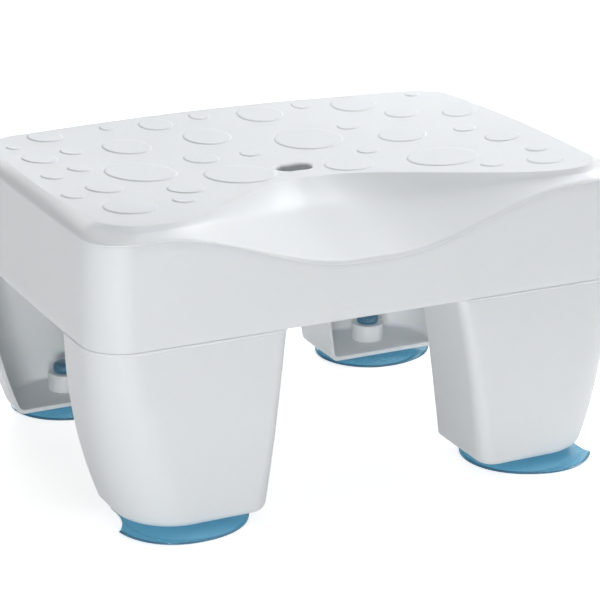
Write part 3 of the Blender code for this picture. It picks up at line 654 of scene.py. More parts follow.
def block_shell(low, high):
    """Rectangular block between two corners."""
    bits = np.array([[i & 1, i >> 1 & 1, i >> 2 & 1] for i in range(8)])
    points = np.where(bits == 1, np.asarray(high), np.asarray(low))
    faces = [[0, 2, 3, 1], [4, 5, 7, 6], [0, 1, 5, 4], [2, 6, 7, 3], [0, 4, 6, 2], [1, 3, 7, 5]]
    return points, faces


def worked_out(obj, *tools):
    """Mesh of an object after its modifiers; the object and its tools are removed."""
    bpy.context.view_layer.update()
    graph = bpy.context.evaluated_depsgraph_get()
    mesh = bpy.data.meshes.new_from_object(obj.evaluated_get(graph))
    name = obj.name
    for done in (obj, *tools):
        bpy.data.objects.remove(done, do_unlink=True)
    if not mesh.polygons:
        raise RuntimeError(f"{name} came out empty")
    return mesh


def cut_or_join(name, base, operand, operation):
    """Mesh of a Boolean between two closed meshes."""
    obj, tool = add_object(name, base), add_object(f"{name}_tool", operand)
    boolean = obj.modifiers.new("shape", 'BOOLEAN')
    boolean.operation = operation
    boolean.solver = 'EXACT'
    boolean.object = tool
    return worked_out(obj, tool)


def beveled(name, mesh, width, angle):
    """The mesh with its sharp edges rounded off."""
    obj = add_object(name, mesh)
    bevel = obj.modifiers.new("rim", 'BEVEL')
    bevel.width = width
    bevel.segments = 2
    bevel.limit_method = 'ANGLE'
    bevel.angle_limit = math.radians(angle)
    return worked_out(obj)


# Finishes

def set_inputs(tree, node, inputs):
    """Give each input of a node its value, or link it where a socket is given."""
    for name, value in inputs.items():
        if isinstance(value, bpy.types.NodeSocket):
            tree.links.new(value, node.inputs[name])
        else:
            node.inputs[name].default_value = value


def add_node(tree, kind, inputs, **settings):
    """Shader node with its settings and inputs; gives back its first output."""
    node = tree.nodes.new(kind)
    for name, value in settings.items():
        setattr(node, name, value)
    set_inputs(tree, node, inputs)
    return node.outputs[0]


def new_finish(name, color, roughness):
    """Material with a Principled surface, and its node tree."""
    material = bpy.data.materials.new(name)
    material.use_nodes = True
    tree = material.node_tree
    surface = tree.nodes["Principled BSDF"]
    set_inputs(tree, surface, {"Base Color": (*color, 1.0), "Roughness": roughness})
    return material, tree, surface


def add_place(tree):
    """The object's own coordinates, in metres."""
    return tree.nodes.new('ShaderNodeTexCoord').outputs["Object"]


def add_noise(tree, scale, detail, roughness=0.5):
    """Noise pattern on the object's own coordinates; scale is in waves per metre."""
    return add_node(tree, 'ShaderNodeTexNoise', {"Vector": add_place(tree), "Scale": scale,
                                                 "Detail": detail, "Roughness": roughness})


def add_range(tree, value, low, high):
    """Map a pattern from 0..1 to a range."""
    return add_node(tree, 'ShaderNodeMapRange', {"Value": value, "To Min": low, "To Max": high})


def add_math(tree, operation, a, b):
    """Sum, product or larger of two values, each a socket or a number."""
    return add_node(tree, 'ShaderNodeMath', {0: a, 1: b}, operation=operation)


def add_bump(tree, height, distance, strength=1.0, before=None):
    """Bump from a height pattern, of a real depth in metres."""
    inputs = {"Distance": distance, "Strength": strength, "Height": height}
    if before:
        inputs["Normal"] = before
    return add_node(tree, 'ShaderNodeBump', inputs)


def tinted(tree, color, pattern, spread):
    """A colour that varies a little in brightness with a pattern."""
    blend = tree.nodes.new('ShaderNodeMix')
    blend.data_type = 'RGBA'
    darker = (*[channel * (1.0 - spread) for channel in color], 1.0)
    lighter = (*[min(channel * (1.0 + spread), 1.0) for channel in color], 1.0)
    set_inputs(tree, blend, {"A": darker, "B": lighter, "Factor": pattern})
    return blend.outputs["Result"]


def moulding_finish(finish):
    """White moulded plastic: smooth and half glossy, with a fine matt grain where marked."""
    material, tree, surface = new_finish("grained_moulding", finish.moulding,
                                         finish.gloss_roughness)
    marked = tree.nodes.new('ShaderNodeAttribute')
    marked.attribute_name = "grain"
    grained = marked.outputs["Fac"]
    cloud = add_noise(tree, scale=9.0, detail=3.0)
    drift = add_range(tree, add_noise(tree, scale=40.0, detail=4.0), -0.04, 0.04)
    matt = add_math(tree, 'MULTIPLY', grained, finish.grain_roughness - finish.gloss_roughness)
    rough = add_math(tree, 'ADD', add_math(tree, 'ADD', matt, finish.gloss_roughness), drift)
    speckle = add_noise(tree, scale=1100.0, detail=3.0, roughness=0.6)
    grain = add_math(tree, 'MULTIPLY', speckle, grained)
    soft = add_bump(tree, add_noise(tree, scale=55.0, detail=2.0), distance=0.00012, strength=0.35)
    fine = add_bump(tree, grain, distance=finish.grain_depth * 4.0, before=soft)
    set_inputs(tree, surface, {
        "IOR": 1.47,
        "Subsurface Weight": finish.glow,
        "Subsurface Radius": (1.0, 0.85, 0.7),
        "Subsurface Scale": 0.003,
        "Base Color": tinted(tree, finish.moulding, cloud, 0.012),
        "Roughness": rough,
        "Normal": fine,
    })
    return material


def rubber_finish(finish):
    """Blue rubber: glossy, partly milky and partly see-through, and darker where thick."""
    material, tree, surface = new_finish("clear_rubber", finish.rubber, 0.06)
    pattern = add_noise(tree, scale=35.0, detail=3.0)
    ripple = add_noise(tree, scale=90.0, detail=2.0)
    set_inputs(tree, surface, {
        "IOR": 1.44,
        "Transmission Weight": 0.70,
        "Base Color": tinted(tree, finish.rubber, pattern, 0.04),
        "Roughness": add_range(tree, add_noise(tree, scale=120.0, detail=3.0), 0.03, 0.10),
        "Normal": add_bump(tree, ripple, distance=0.0003, strength=0.4),
    })
    body = add_node(tree, 'ShaderNodeVolumeAbsorption', {"Color": (*finish.rubber_body, 1.0),
                                                         "Density": finish.rubber_depth})
    set_inputs(tree, tree.nodes["Material Output"], {"Volume": body})
    return material


def steel_finish(finish):
    """Plain steel with fine turning marks."""
    material, tree, surface = new_finish("turned_steel", finish.steel, 0.30)
    marks = add_noise(tree, scale=2500.0, detail=2.0)
    set_inputs(tree, surface, {
        "Metallic": 1.0,
        "Roughness": add_range(tree, add_noise(tree, scale=900.0, detail=3.0), 0.22, 0.40),
        "Normal": add_bump(tree, marks, distance=0.00002, strength=0.5),
    })
    return material


def finish_named(context, name):
    """The scene's material of that name, made on first use."""
    makers = {"grained_moulding": moulding_finish, "clear_rubber": rubber_finish,
              "turned_steel": steel_finish}
    return bpy.data.materials.get(name) or makers[name](context.scene.bath_seat.finish)


# Seat

class BATHSEAT_OT_seat_skin(bpy.types.Operator):
    """Make the seat moulding with its dish, scoop, edge, skirt and drain slot"""

    bl_idname = "bathseat.seat_skin"
    bl_label = "Seat moulding"

    def execute(self, context):
        grid, grain = seat_skin(context.scene.bath_seat.seat)
        rows, columns = grid.shape[:2]
        faces = grid_faces(rows, columns, closed_rows=True).tolist()
        mesh = mesh_from("seat_skin", [(grid.reshape(-1, 3), faces)])
        set_grain(mesh, grain)
        material = finish_named(context, "grained_moulding")
        add_piece(mesh, material, "seat", "white_moulding", SEAT_SHARP, "seat_shell")
        return {'FINISHED'}


def pad_shell(seat, x, y, radius):
    """One raised pad: rings about its middle that follow the dish, lifted by the pad's rise.

    The edge falls by the smooth step 3t^2 - 2t^3 over PAD_EDGE, and its foot goes a little
    below the dish.
    """
    step = np.linspace(0.0, 1.0, 7)
    inner = np.linspace(0.12, 0.9, 5) * (radius - PAD_EDGE)
    radii = np.concatenate([inner, radius - PAD_EDGE * (1.0 - step), [radius, 0.5 * radius]])
    lifts = np.concatenate([np.full(len(inner), seat.pad_rise),
                            seat.pad_rise * (1.0 - smooth_rise(step, 0.0, 1.0)),
                            [PAD_FOOT, PAD_FOOT]])
    columns = LARGE_PAD_COLUMNS if radius > SMALL_PAD else SMALL_PAD_COLUMNS
    grid = ring_grid(radii, lifts, columns)
    grid[..., :2] += (x, y)
    grid[..., 2] += dish_height(seat, grid[..., 0], grid[..., 1])
    return closed_shell(grid)


class BATHSEAT_OT_seat_pads(bpy.types.Operator):
    """Make the low round pads on the dished top"""

    bl_idname = "bathseat.seat_pads"
    bl_label = "Seat pads"

    def execute(self, context):
        seat = context.scene.bath_seat.seat
        shells = [pad_shell(seat, x, y, radius) for radius, places in PADS for x, y in places]
        mesh = mesh_from("seat_pads", shells)
        set_grain(mesh, PAD_GRAIN)
        material = finish_named(context, "grained_moulding")
        add_piece(mesh, material, "seat", "white_moulding", SEAT_SHARP)
        return {'FINISHED'}


def hidden_height(seat, x, y):
    """Height of the middle of the wall above a point in plan, where the ribs end.

    It is the outer face shrunk towards the origin by half a wall: the dish inside the
    top's outline, the scoop in front of it, and the edge's quadratic at the sides and back.
    """
    half_wall = seat.wall / 2
    half_x, half_y = seat.width / 2, seat.depth / 2
    x, y = x / (1.0 - half_wall / half_x), y / (1.0 - half_wall / half_y)
    top_x, top_y = half_x - seat.edge_inset, half_y - seat.edge_inset
    start = -top_y + scoop_reach(seat, x)
    top = dish_height(seat, x, y)
    lip = edge_level(seat) - lip_dip(seat, x)
    along = np.clip((start - y) / (start + half_y), 0.0, 1.0)
    above = dish_height(seat, x, start)
    step = np.minimum(STEP_RUN / np.maximum(start + half_y, SHORTEST_RUN), RUN_LIMIT)
    stepped = 1.0 - (1.0 - np.minimum(along / step, 1.0)) ** STEP_CURVE
    fall = STEP_FALL * stepped + (1.0 - STEP_FALL) * along
    scooped = above - fall * (above - lip)
    bow_x = np.minimum(np.abs(x) / half_x, 1.0) ** 2
    bow_y = np.minimum(np.abs(y) / half_y, 1.0) ** 2
    side, back = top_x - TOP_SIDE_BOW * bow_y, top_y - TOP_BACK_BOW * bow_x
    out_x = (np.abs(x) - side) / (half_x - SIDE_BOW * bow_y - side)
    out_y = (y - back) / (half_y - BACK_BOW * bow_x - back)
    turn = 1.0 - np.sqrt(1.0 - np.clip(np.maximum(out_x, out_y), 0.0, 1.0))
    crease = top - CREASE_SHARE * seat.edge_drop
    rounded = ((1.0 - turn) ** 2 * top + 2.0 * turn * (1.0 - turn) * crease
               + turn ** 2 * edge_level(seat))
    height = np.where(y < start, scooped, rounded)
    return height * (1.0 - half_wall / seat.rim_height)


def rib_shell(seat, level, along_x):
    """One upright rib: a plate between its foot and the hidden side of the top."""
    half = (seat.width if along_x else seat.depth) / 2 - seat.wall / 2 - RIB_END
    along = np.linspace(-half, half, 161)
    x, y = (along, np.full_like(along, level)) if along_x else (np.full_like(along, level), along)
    foot, top = SEAM_HEIGHT + RIB_FOOT, hidden_height(seat, x, y)
    aside_x, aside_y = (0.0, RIB_THICKNESS / 2) if along_x else (RIB_THICKNESS / 2, 0.0)
    rings = [np.stack([x + side * aside_x, y + side * aside_y, height + np.zeros_like(along)],
                      axis=-1)
             for side, height in ((-1, foot), (1, foot), (1, top), (-1, top))]
    return closed_shell(np.stack(rings, axis=1))


class BATHSEAT_OT_seat_ribs(bpy.types.Operator):
    """Make the ribs under the seat that frame the legs"""

    bl_idname = "bathseat.seat_ribs"
    bl_label = "Seat ribs"

    def execute(self, context):
        seat = context.scene.bath_seat.seat
        across = LEG_OPEN_EDGE - GAP - RIB_THICKNESS / 2
        along = LEG_INNER_TOP + seat.wall + SPIGOT_GAP - GAP - RIB_THICKNESS / 2
        shells = [rib_shell(seat, sign * across, True) for sign in (-1, 1)]
        shells += [rib_shell(seat, sign * along, False) for sign in (-1, 1)]
        mesh = mesh_from("seat_ribs", shells)
        set_grain(mesh, 0.0)
        material = finish_named(context, "grained_moulding")
        add_piece(mesh, material, "seat", "white_moulding", RIB_SHARP)
        return {'FINISHED'}


# Legs

def leg_sections(seat, height, inset, open_edge, bow):
    """Open plan sections of the front or rear right leg, one row for each height and inset.

    Each goes from the open end of the inner wall round the inner corner, the face and
    the outer corner to the open end of the side. The inner wall, the side and the face
    each lean by a power curve of the fall below the seam. The inner corner widens with
    the cube of the fall, and the outer one evenly over its first half.
    """
    height, inset = np.asarray(height)[:, None], np.asarray(inset)[:, None]
    half_x, half_y = seat.width / 2, seat.depth / 2
    fall = 1.0 - np.minimum(height / SEAM_HEIGHT, 1.0)
    growth = skirt_growth(seat) - seat.draft * np.maximum(height - SEAM_HEIGHT, 0.0)
    inner = mix(LEG_INNER_TOP, LEG_INNER_FOOT, fall ** LEG_INNER_CURVE) + inset
    outer = half_x + growth - LEG_SIDE_TUCK * fall ** LEG_SIDE_CURVE - inset
    face = half_y + growth + LEG_SPLAY * (1.0 - (1.0 - fall) ** LEG_SPLAY_CURVE) - inset
    small = np.maximum(LEG_INNER_CORNER + LEG_INNER_SPREAD * fall ** 3 - inset, LEAST_RADIUS)
    large = mix(seat.corner + growth, LEG_FOOT_CORNER, np.minimum(2 * fall, 1.0)) - inset
    large = np.maximum(large, LEAST_RADIUS)
    all_run = np.linspace(0.0, 1.0, 12)
    run, turn = all_run[1:], np.linspace(0.0, np.pi / 2, 12)[1:]
    runs = [
        (inner * np.ones_like(all_run), mix(open_edge, face - small, all_run)),
        (inner + small * (1.0 - np.cos(turn)), face - small * (1.0 - np.sin(turn))),
        (mix(inner + small, outer - large, run), face * np.ones_like(run)),
        (outer - large * (1.0 - np.sin(turn)), face - large * (1.0 - np.cos(turn))),
        (outer * np.ones_like(run), mix(face - large, open_edge, run)),
    ]
    x, y = (np.concatenate(parts, axis=1) for parts in zip(*runs))
    x, y = bowed(x, y, half_x + growth - inset, half_y + growth - inset, SIDE_BOW, bow)
    return np.stack([x, y, height + np.zeros_like(x)], axis=-1)


def leg_side(seat, floor, fillet, shoulder, inset, spigot_inset, bead, bow):
    """One face of the leg's wall, from the spigot's top down and in across the floor.

    The bead under the seam stands proud by a root of the sine of its half turn, and a
    squared sine makes the fine groove under it. The floor's rows are the foot's section
    shrunk towards the middle of its open edge.
    """
    top = LEG_HIGH.z
    turn = np.linspace(0.0, np.pi / 2, 8)
    half_turn = np.linspace(0.0, np.pi, 7)
    spigot = [(top, spigot_inset), (mix(top, shoulder, 0.5), spigot_inset),
              (shoulder + SPIGOT_ROW, spigot_inset), (shoulder, spigot_inset)]
    groove = BEAD_GROOVE_DEPTH * bead / BEAD_PROUD
    bead_rows = [(shoulder - BEAD_HEIGHT * (1.0 - math.cos(a)) / 2,
                  inset - bead * abs(math.sin(a)) ** BEAD_ROUNDING) for a in half_turn]
    bead_rows += [(shoulder - BEAD_HEIGHT - BEAD_GROOVE_HEIGHT * share,
                   inset + groove * math.sin(math.pi * share) ** 2)
                  for share in (0.25, 0.5, 0.75, 1.0)]
    low, high = floor + fillet, shoulder - BEAD_HEIGHT - BEAD_GROOVE_HEIGHT
    wall = [(height, inset) for height in mix(high, low, np.linspace(0.012, 1.0, 26))]
    foot = [(floor + fillet * (1.0 - math.sin(a)), inset + fillet * (1.0 - math.cos(a)))
            for a in turn[1:]]
    height, insets = np.array(spigot + bead_rows + wall + foot).T
    rows = leg_sections(seat, height, insets, LEG_OPEN_EDGE, bow)
    middle = (rows[-1, 0] + rows[-1, -1]) / 2
    shrink = np.linspace(0.0, 1.0, 14)[1:-1, None, None]
    return np.concatenate([rows, mix(rows[-1], middle, shrink)]), middle


def leg_shell(seat, bow):
    """Closed wall of a right leg in first-quadrant place: two faces joined round the rim."""
    shoulder = SEAM_HEIGHT - SEAM_GAP
    spigot = seat.wall + SPIGOT_GAP
    outer, outer_pole = leg_side(seat, FLOOR_HEIGHT, FOOT_FILLET, shoulder, 0.0, spigot,
                                 BEAD_PROUD, bow)
    inner, inner_pole = leg_side(seat, FLOOR_HEIGHT + FLOOR_THICKNESS, INNER_FILLET,
                                 shoulder - LEG_WALL, LEG_WALL, spigot + LEG_WALL, 0.0, bow)
    rows, columns = outer.shape[:2]
    count = rows * columns
    points = np.concatenate([outer.reshape(-1, 3), inner.reshape(-1, 3), [outer_pole, inner_pole]])
    sheet = grid_faces(rows, columns, closed_columns=False)
    faces = sheet.tolist() + (sheet[:, ::-1] + count).tolist()
    last = (rows - 1) * columns + np.arange(columns - 1)
    pole = np.full(columns - 1, 2 * count)
    faces += np.stack([last, last + 1, pole], axis=-1).tolist()
    faces += np.stack([last + 1 + count, last + count, pole + 1], axis=-1).tolist()
    top = np.arange(columns - 1)
    side = np.arange(rows - 1) * columns
    far_side = side + columns - 1
    for here, after in ((top + 1, top), (side, side + columns), (far_side + columns, far_side)):
        faces += np.stack([here, after, after + count, here + count], axis=-1).tolist()
    corner = (rows - 1) * columns
    faces.append([corner, 2 * count, 2 * count + 1, corner + count])
    corner = rows * columns - 1
    faces.append([2 * count, corner, corner + count, 2 * count + 1])
    return points, faces


def laid_along_y(shell, x, z):
    """A shell that stands along Z, turned to lie along +Y through a point in X and Z."""
    points, faces = shell
    return np.stack([x + points[:, 0], points[:, 2], z - points[:, 1]], axis=-1), faces


def screw_axes():
    """X and height of the two screws of the right legs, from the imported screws."""
    axes = []
    for side in ("inner", "outer"):
        low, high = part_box(f"leg_screw_front_right_{side}")
        axes.append(((low.x + high.x) / 2, (low.z + high.z) / 2))
    return axes


def leg_mesh(seat, name, bow):
    """Mesh of a right leg in first-quadrant place, with its bar, pillars, boss and bores."""
    mesh = beveled(name, mesh_from(name, [leg_shell(seat, bow)]), RIM_ROUND, 60.0)
    spigot = seat.wall + SPIGOT_GAP
    inner = LEG_INNER_TOP + spigot + LEG_WALL / 2
    outer = seat.width / 2 - spigot - LEG_WALL / 2
    bar = block_shell((inner, LEG_OPEN_EDGE + GAP, SEAM_HEIGHT),
                      (outer, LEG_OPEN_EDGE + BAR_THICKNESS, LEG_HIGH.z - GAP))
    mesh = cut_or_join(name, mesh, mesh_from("bar", [bar]), 'UNION')
    points, faces = rod_shell(BOSS_RADIUS, FLOOR_HEIGHT + FLOOR_THICKNESS / 2, BOSS_TOP,
                              BOSS_ROUND, BOSS_COLUMNS)
    shells = [(points + (CUP_X, CUP_Y, 0.0), faces)]
    pillar = rod_shell(PILLAR_RADIUS, LEG_OPEN_EDGE + BAR_THICKNESS / 2,
                       LEG_OPEN_EDGE + BAR_THICKNESS + PILLAR_LENGTH, PILLAR_ROUND)
    shells += [laid_along_y(pillar, x, z) for x, z in screw_axes()]
    mesh = cut_or_join(name, mesh, mesh_from("bosses", shells), 'UNION')
    points, faces = rod_shell(NECK_RADIUS + GAP, 0.0, 2 * BOSS_TOP, PILLAR_ROUND, BOSS_COLUMNS)
    shells = [(points + (CUP_X, CUP_Y, 0.0), faces)]
    bore = rod_shell(SCREW_RADIUS + GAP, LEG_OPEN_EDGE - BAR_THICKNESS,
                     LEG_OPEN_EDGE + BAR_THICKNESS + 2 * PILLAR_LENGTH, BORE_ROUND, BORE_COLUMNS)
    shells += [laid_along_y(bore, x, z) for x, z in screw_axes()]
    return cut_or_join(name, mesh, mesh_from("bores", shells), 'DIFFERENCE')


def placed(mesh, name, sign_x, sign_y):
    """Copy of a first-quadrant mesh reflected to another corner, its faces kept outwards."""
    copy = mesh.copy()
    copy.name = name
    points = np.empty(3 * len(copy.vertices), dtype=np.float32)
    copy.vertices.foreach_get("co", points)
    points = points.reshape(-1, 3) * (sign_x, sign_y, 1.0)
    copy.vertices.foreach_set("co", points.astype(np.float32).ravel())
    if sign_x * sign_y < 0:
        copy.flip_normals()
    copy.update()
    return copy


class BATHSEAT_OT_legs(bpy.types.Operator):
    """Make the four channel legs with their bosses, bars and spigots"""

    bl_idname = "bathseat.legs"
    bl_label = "Legs"

    def execute(self, context):
        seat = context.scene.bath_seat.seat
        material = finish_named(context, "grained_moulding")
        meshes = {-1: leg_mesh(seat, "front_leg", 0.0), 1: leg_mesh(seat, "rear_leg", BACK_BOW)}
        for place, (sign_x, sign_y, _) in PLACES.items():
            mesh = placed(meshes[sign_y], f"channel_leg_{place}", sign_x, sign_y)
            set_grain(mesh, 0.0)
            add_piece(mesh, material, "seat", "white_moulding", LEG_SHARP, f"leg_{place}")
        return {'FINISHED'}


# Suction cups

def tab_outline(radius):
    """Angles, rim radii and tab shares round a cup whose pull tab points along +X.

    The tab's end is a hollow parabola between two corners. Beyond each corner the rim
    falls back to its circle by half a cosine wave of the angle. The share is -1 to 1
    across the end and fades to 0 with that wave.
    """
    end = radius + TAB_REACH
    across = np.linspace(-1.0, 1.0, 41)
    x, y = end - TAB_NOTCH * (1.0 - across ** 2), TAB_HALF_WIDTH * across
    corner = math.atan2(TAB_HALF_WIDTH, end)
    turn = np.linspace(corner, 2 * np.pi - corner, 132)[1:-1]
    away = np.minimum(turn, 2 * np.pi - turn) - corner
    wave = 0.5 + 0.5 * np.cos(np.pi * np.minimum(away / TAB_SPREAD, 1.0))
    rim = radius + (math.hypot(TAB_HALF_WIDTH, end) - radius) * wave
    angle = np.concatenate([np.arctan2(y, x), turn])
    share = np.concatenate([across, np.where(turn < np.pi, wave, -wave)])
    return angle, np.concatenate([np.hypot(x, y), rim]), share


def cup_shell(radius):
    """Closed surface of a cup about Z: button, neck, bell with its tab, and the hollow under it.

    The bell falls from its shoulder as 1 - w^BELL_CURVE of the share w of the way to the
    rim, and the hollow under it as 1 - w^HOLLOW_CURVE. Beyond the round rim the tab keeps
    its thickness, and lifts with the square of the distance out and across.
    """
    angle, rim, share = tab_outline(radius)
    shoulder, head_foot = FLOOR_HEIGHT - GAP, BOSS_TOP + GAP
    turn = np.linspace(0.0, np.pi / 2, 8)
    (flat, outward), (middle, upward) = BUTTON_EDGE
    edge = zip(flat + outward * np.sin(turn), middle + upward * np.cos(turn))
    profile = [(BUTTON_RADIUS * out, head_foot + BUTTON_HEIGHT * up)
               for out, up in (*BUTTON_TOP, *edge, *BUTTON_SIDE)]
    profile += [(NECK_RADIUS + NECK_ROUND, head_foot), (NECK_RADIUS, head_foot - NECK_ROUND),
                (NECK_RADIUS, shoulder + NECK_FILLET), (NECK_RADIUS + NECK_FILLET, shoulder),
                (CUP_SHOULDER - SHOULDER_ROUND, shoulder)]
    radii, heights = np.array(profile).T[..., None]
    head = around(radii, angle, heights)
    rounded, last_round = np.minimum(rim, radius), 14
    out = np.concatenate([np.linspace(0.0, 1.0, last_round), [0.25, 0.5, 0.75, 0.94, 1.0]])[:, None]
    bell = np.arange(len(out))[:, None] < last_round
    reach = np.where(bell, mix(CUP_SHOULDER, rounded, out), mix(rounded, rim, out))
    tab = np.clip((reach - radius) / TAB_LENGTH, 0.0, 1.0)
    fall = np.where(bell, 1.0 - out ** BELL_CURVE, 0.0)
    thick = mix(CUP_EDGE, TAB_THICKNESS, smooth_rise(tab, 0.0, 0.3))
    upper = thick + (shoulder - CUP_EDGE) * fall + TAB_LIFT * (tab * share) ** 2
    upper[-1] -= TAB_ROUND
    under = np.array([1.0, 0.97, 0.75, 0.5, 0.25, 0.0])[:, None]
    reach_under = mix(rounded - CUP_LAND, rim, under)
    tab = np.clip((reach_under - radius) / TAB_LENGTH, 0.0, 1.0)
    lower = TAB_LIFT * (tab * share) ** 2 + TAB_FLOOR_GAP * smooth_rise(tab, 0.0, 0.2)
    lower[0] += TAB_ROUND
    hollow = np.array([0.97, 0.9, 0.8, 0.65, 0.5, 0.35, 0.2])[:, None]
    reach_hollow = (radius - CUP_LAND) * hollow + np.zeros_like(angle)
    dome = CUP_HOLLOW * (1.0 - hollow ** HOLLOW_CURVE) + np.zeros_like(angle)
    rows = np.concatenate([reach, reach_under, reach_hollow])
    levels = np.concatenate([upper, lower, dome])
    return closed_shell(np.concatenate([head, around(rows, angle, levels)]))


class BATHSEAT_OT_suction_cups(bpy.types.Operator):
    """Make the four suction cups with their pull tabs, necks and buttons"""

    bl_idname = "bathseat.suction_cups"
    bl_label = "Suction cups"

    def execute(self, context):
        material = finish_named(context, "clear_rubber")
        points, faces = cup_shell(CUP_RADIUS)
        for place, (sign_x, sign_y, turn) in PLACES.items():
            rotation = np.array(Matrix.Rotation(math.radians(turn), 3, 'Z'))
            moved = points @ rotation.T + (sign_x * CUP_X, sign_y * CUP_Y, 0.0)
            mesh = mesh_from(f"rubber_cup_{place}", [(moved, faces)])
            add_piece(mesh, material, f"cup_{place}", "blue_rubber", CUP_SHARP,
                      f"suction_cup_{place}")
        return {'FINISHED'}


# Screws

def screw_shell():
    """Pan-headed screw along Z: head above 0, threaded shank below.

    The cross recess is cut into the dome where |x| or |y| is small, and the thread is
    a ridge whose phase turns with the angle and the height.
    """
    columns = 48
    angle = np.linspace(0.0, 2 * np.pi, columns, endpoint=False)
    share = np.linspace(0.06, 1.0, 18)[:, None]
    radii = HEAD_RADIUS * share * np.ones(columns)
    dome = HEAD_HEIGHT * np.sqrt(1.0 - HEAD_CROWN * share ** 3.0) * np.ones(columns)
    x, y = radii * np.cos(angle), radii * np.sin(angle)
    narrow = np.minimum(np.abs(x), np.abs(y))
    cross = 1.0 - smooth_rise(narrow, *RECESS_SIDE)
    cross = cross * (1.0 - smooth_rise(radii, *RECESS_END))
    head = np.stack([x, y, dome - RECESS_DEPTH * cross], axis=-1)
    rim = ring_grid([HEAD_RADIUS, HEAD_RADIUS - 0.0002, SCREW_RADIUS], [HEAD_EDGE, 0.0, 0.0],
                    columns)
    depth = np.linspace(SHANK_TOP, SCREW_LENGTH, 110)[:, None]
    taper = 1.0 - smooth_rise(depth, SCREW_LENGTH - SCREW_TIP, SCREW_LENGTH + TIP_BLUNT)
    phase = 2 * np.pi * depth / THREAD_PITCH - angle
    ridge = THREAD_DEPTH * (1.0 - (0.5 + 0.5 * np.cos(phase)) ** 3)
    shank = (SCREW_RADIUS - ridge * smooth_rise(depth, *THREAD_START)) * taper
    return closed_shell(np.concatenate([head, rim, around(shank, angle, -depth)]))


class BATHSEAT_OT_leg_screws(bpy.types.Operator):
    """Make the eight screws that hold the legs"""

    bl_idname = "bathseat.leg_screws"
    bl_label = "Leg screws"

    def execute(self, context):
        material = finish_named(context, "turned_steel")
        points, faces = screw_shell()
        for place, (_, sign_y, _) in PLACES.items():
            rotation = np.array(Matrix.Rotation(math.radians(90.0 * sign_y), 3, 'X'))
            for side in ("inner", "outer"):
                node = f"leg_screw_{place}_{side}"
                low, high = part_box(node)
                head = high.y - HEAD_HEIGHT if sign_y < 0 else low.y + HEAD_HEIGHT
                spot = ((low.x + high.x) / 2, head, (low.z + high.z) / 2)
                moved = points @ rotation.T + spot
                mesh = mesh_from(f"steel_screw_{place}_{side}", [(moved, faces)])
                add_piece(mesh, material, "seat", "stainless_steel", SCREW_SHARP, node)
        return {'FINISHED'}


# Stage

def add_lamp(name, energy, size, location):
    """Square area lamp at a place, turned towards the middle of the seat."""
    light = bpy.data.lights.new(name, 'AREA')
    light.energy = energy
    light.size = size
    aim = Vector(LAMP_TARGET) - Vector(location)
    add_object(name, light).matrix_world = (Matrix.Translation(location)
                                            @ aim.to_track_quat('-Z', 'Y').to_matrix().to_4x4())


def add_camera():
    """Camera at the photograph's viewing angle: place, yaw, pitch, roll and lens."""
    data = bpy.data.cameras.new("view")
    data.sensor_width = CAMERA_SENSOR
    data.lens = CAMERA_LENS
    data.clip_end = CAMERA_REACH
    camera = add_object("view", data)
    yaw, pitch, roll = (math.radians(angle) for angle in CAMERA_TURN)
    turn = (Matrix.Rotation(-yaw, 4, 'Z') @ Matrix.Rotation(math.pi / 2 - pitch, 4, 'X')
            @ Matrix.Rotation(roll, 4, 'Z'))
    camera.matrix_world = Matrix.Translation(CAMERA_PLACE) @ turn
    bpy.context.scene.camera = camera


def met_by_eye(tree):
    """1 where the camera, a mirror or glass looks, and 0 for the light on the object."""
    path = tree.nodes.new('ShaderNodeLightPath').outputs
    seen = add_math(tree, 'MAXIMUM', path["Is Camera Ray"], path["Is Glossy Ray"])
    return add_math(tree, 'MAXIMUM', seen, path["Is Transmission Ray"])


def add_floor(lights):
    """Pale matt floor, with white added for the eye so that only the shadow shows on it.

    The added white rises to 1 by a smooth step of the distance from the seat.
    """
    mesh = bpy.data.meshes.new("floor")
    corners = [(x * FLOOR_SPAN, y * FLOOR_SPAN, FLOOR_LEVEL)
               for x, y in ((-1, -1), (1, -1), (1, 1), (-1, 1))]
    mesh.from_pydata(corners, [], [(0, 1, 2, 3)])
    floor = add_object("floor", mesh)
    material, tree, surface = new_finish("floor", lights.floor, 0.9)
    surface.inputs["Specular IOR Level"].default_value = 0.0
    away = tree.nodes.new('ShaderNodeVectorMath')
    away.operation = 'LENGTH'
    set_inputs(tree, away, {0: add_place(tree)})
    far = add_node(tree, 'ShaderNodeMapRange', {
        "Value": away.outputs["Value"], "From Min": FLOOR_FADE[0], "From Max": FLOOR_FADE[1],
        "To Min": lights.floor_glow}, interpolation_type='SMOOTHSTEP')
    strength = add_math(tree, 'MULTIPLY', met_by_eye(tree), far)
    white = add_node(tree, 'ShaderNodeEmission', {"Strength": strength})
    both = add_node(tree, 'ShaderNodeAddShader', {0: surface.outputs[0], 1: white})
    set_inputs(tree, tree.nodes["Material Output"], {"Surface": both})
    mesh.materials.append(material)


def add_surroundings(lights):
    """Even pale surroundings that are pure white to the eye."""
    world = bpy.data.worlds.new("surroundings")
    world.use_nodes = True
    bpy.context.scene.world = world
    tree = world.node_tree
    plain = tree.nodes["Background"]
    set_inputs(tree, plain, {"Color": WHITE, "Strength": lights.surround})
    white = add_node(tree, 'ShaderNodeBackground', {"Color": WHITE})
    blend = add_node(tree, 'ShaderNodeMixShader', {"Fac": met_by_eye(tree), 1: plain.outputs[0],
                                                   2: white})
    set_inputs(tree, tree.nodes["World Output"], {"Surface": blend})


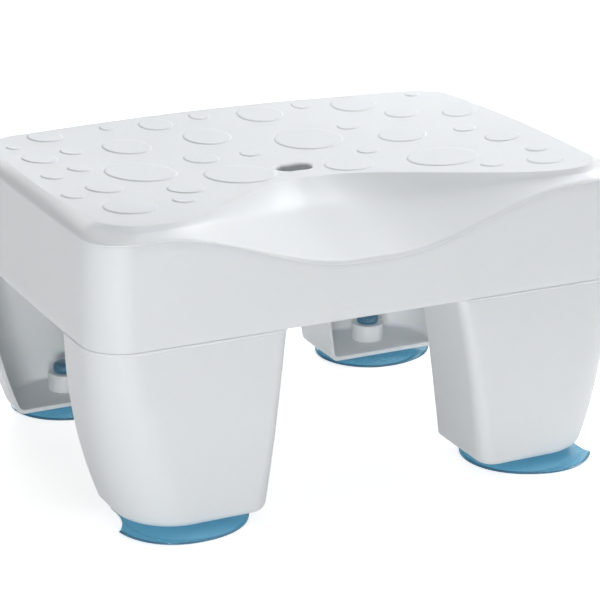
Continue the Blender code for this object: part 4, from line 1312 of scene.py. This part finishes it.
class BATHSEAT_OT_stage(bpy.types.Operator):
    """Make the pale floor, the soft lamps, the surroundings and the camera"""

    bl_idname = "bathseat.stage"
    bl_label = "Stage"

    def execute(self, context):
        lights = context.scene.bath_seat.lights
        add_floor(lights)
        add_surroundings(lights)
        for name, size, location in LAMPS:
            add_lamp(name, getattr(lights, name), size, location)
        add_camera()
        context.scene.view_settings.view_transform = 'Standard'
        return {'FINISHED'}


OPERATORS = (BATHSEAT_OT_seat_skin, BATHSEAT_OT_seat_pads, BATHSEAT_OT_seat_ribs,
             BATHSEAT_OT_legs, BATHSEAT_OT_suction_cups, BATHSEAT_OT_leg_screws,
             BATHSEAT_OT_stage)


class BATHSEAT_PT_panel(bpy.types.Panel):
    """Lists the pieces of the bath seat and their settings"""

    bl_idname = "BATHSEAT_PT_panel"
    bl_label = "Bath seat"
    bl_space_type = 'VIEW_3D'
    bl_region_type = 'UI'
    bl_category = "Bath seat"

    def draw(self, context):
        layout = self.layout
        settings = context.scene.bath_seat
        for group in (settings.seat, settings.finish, settings.lights):
            box = layout.box()
            for name in group.__annotations__:
                box.prop(group, name)
        for operator in OPERATORS:
            layout.operator(operator.bl_idname)


GROUPS = (SeatSizes, Finishes, StageLights, BathSeatSettings)


def register():
    """Register the settings, the operators and the panel."""
    for cls in GROUPS + OPERATORS + (BATHSEAT_PT_panel,):
        bpy.utils.register_class(cls)
    bpy.types.Scene.bath_seat = PointerProperty(type=BathSeatSettings)


def unregister():
    """Take the panel, the operators and the settings away again."""
    del bpy.types.Scene.bath_seat
    for cls in reversed(GROUPS + OPERATORS + (BATHSEAT_PT_panel,)):
        bpy.utils.unregister_class(cls)


def main():
    """Build every piece and the stage."""
    register()
    bpy.ops.bathseat.seat_skin()
    bpy.ops.bathseat.seat_pads()
    bpy.ops.bathseat.seat_ribs()
    bpy.ops.bathseat.legs()
    bpy.ops.bathseat.suction_cups()
    bpy.ops.bathseat.leg_screws()
    bpy.ops.bathseat.stage()


if __name__ == "__main__":
    main()
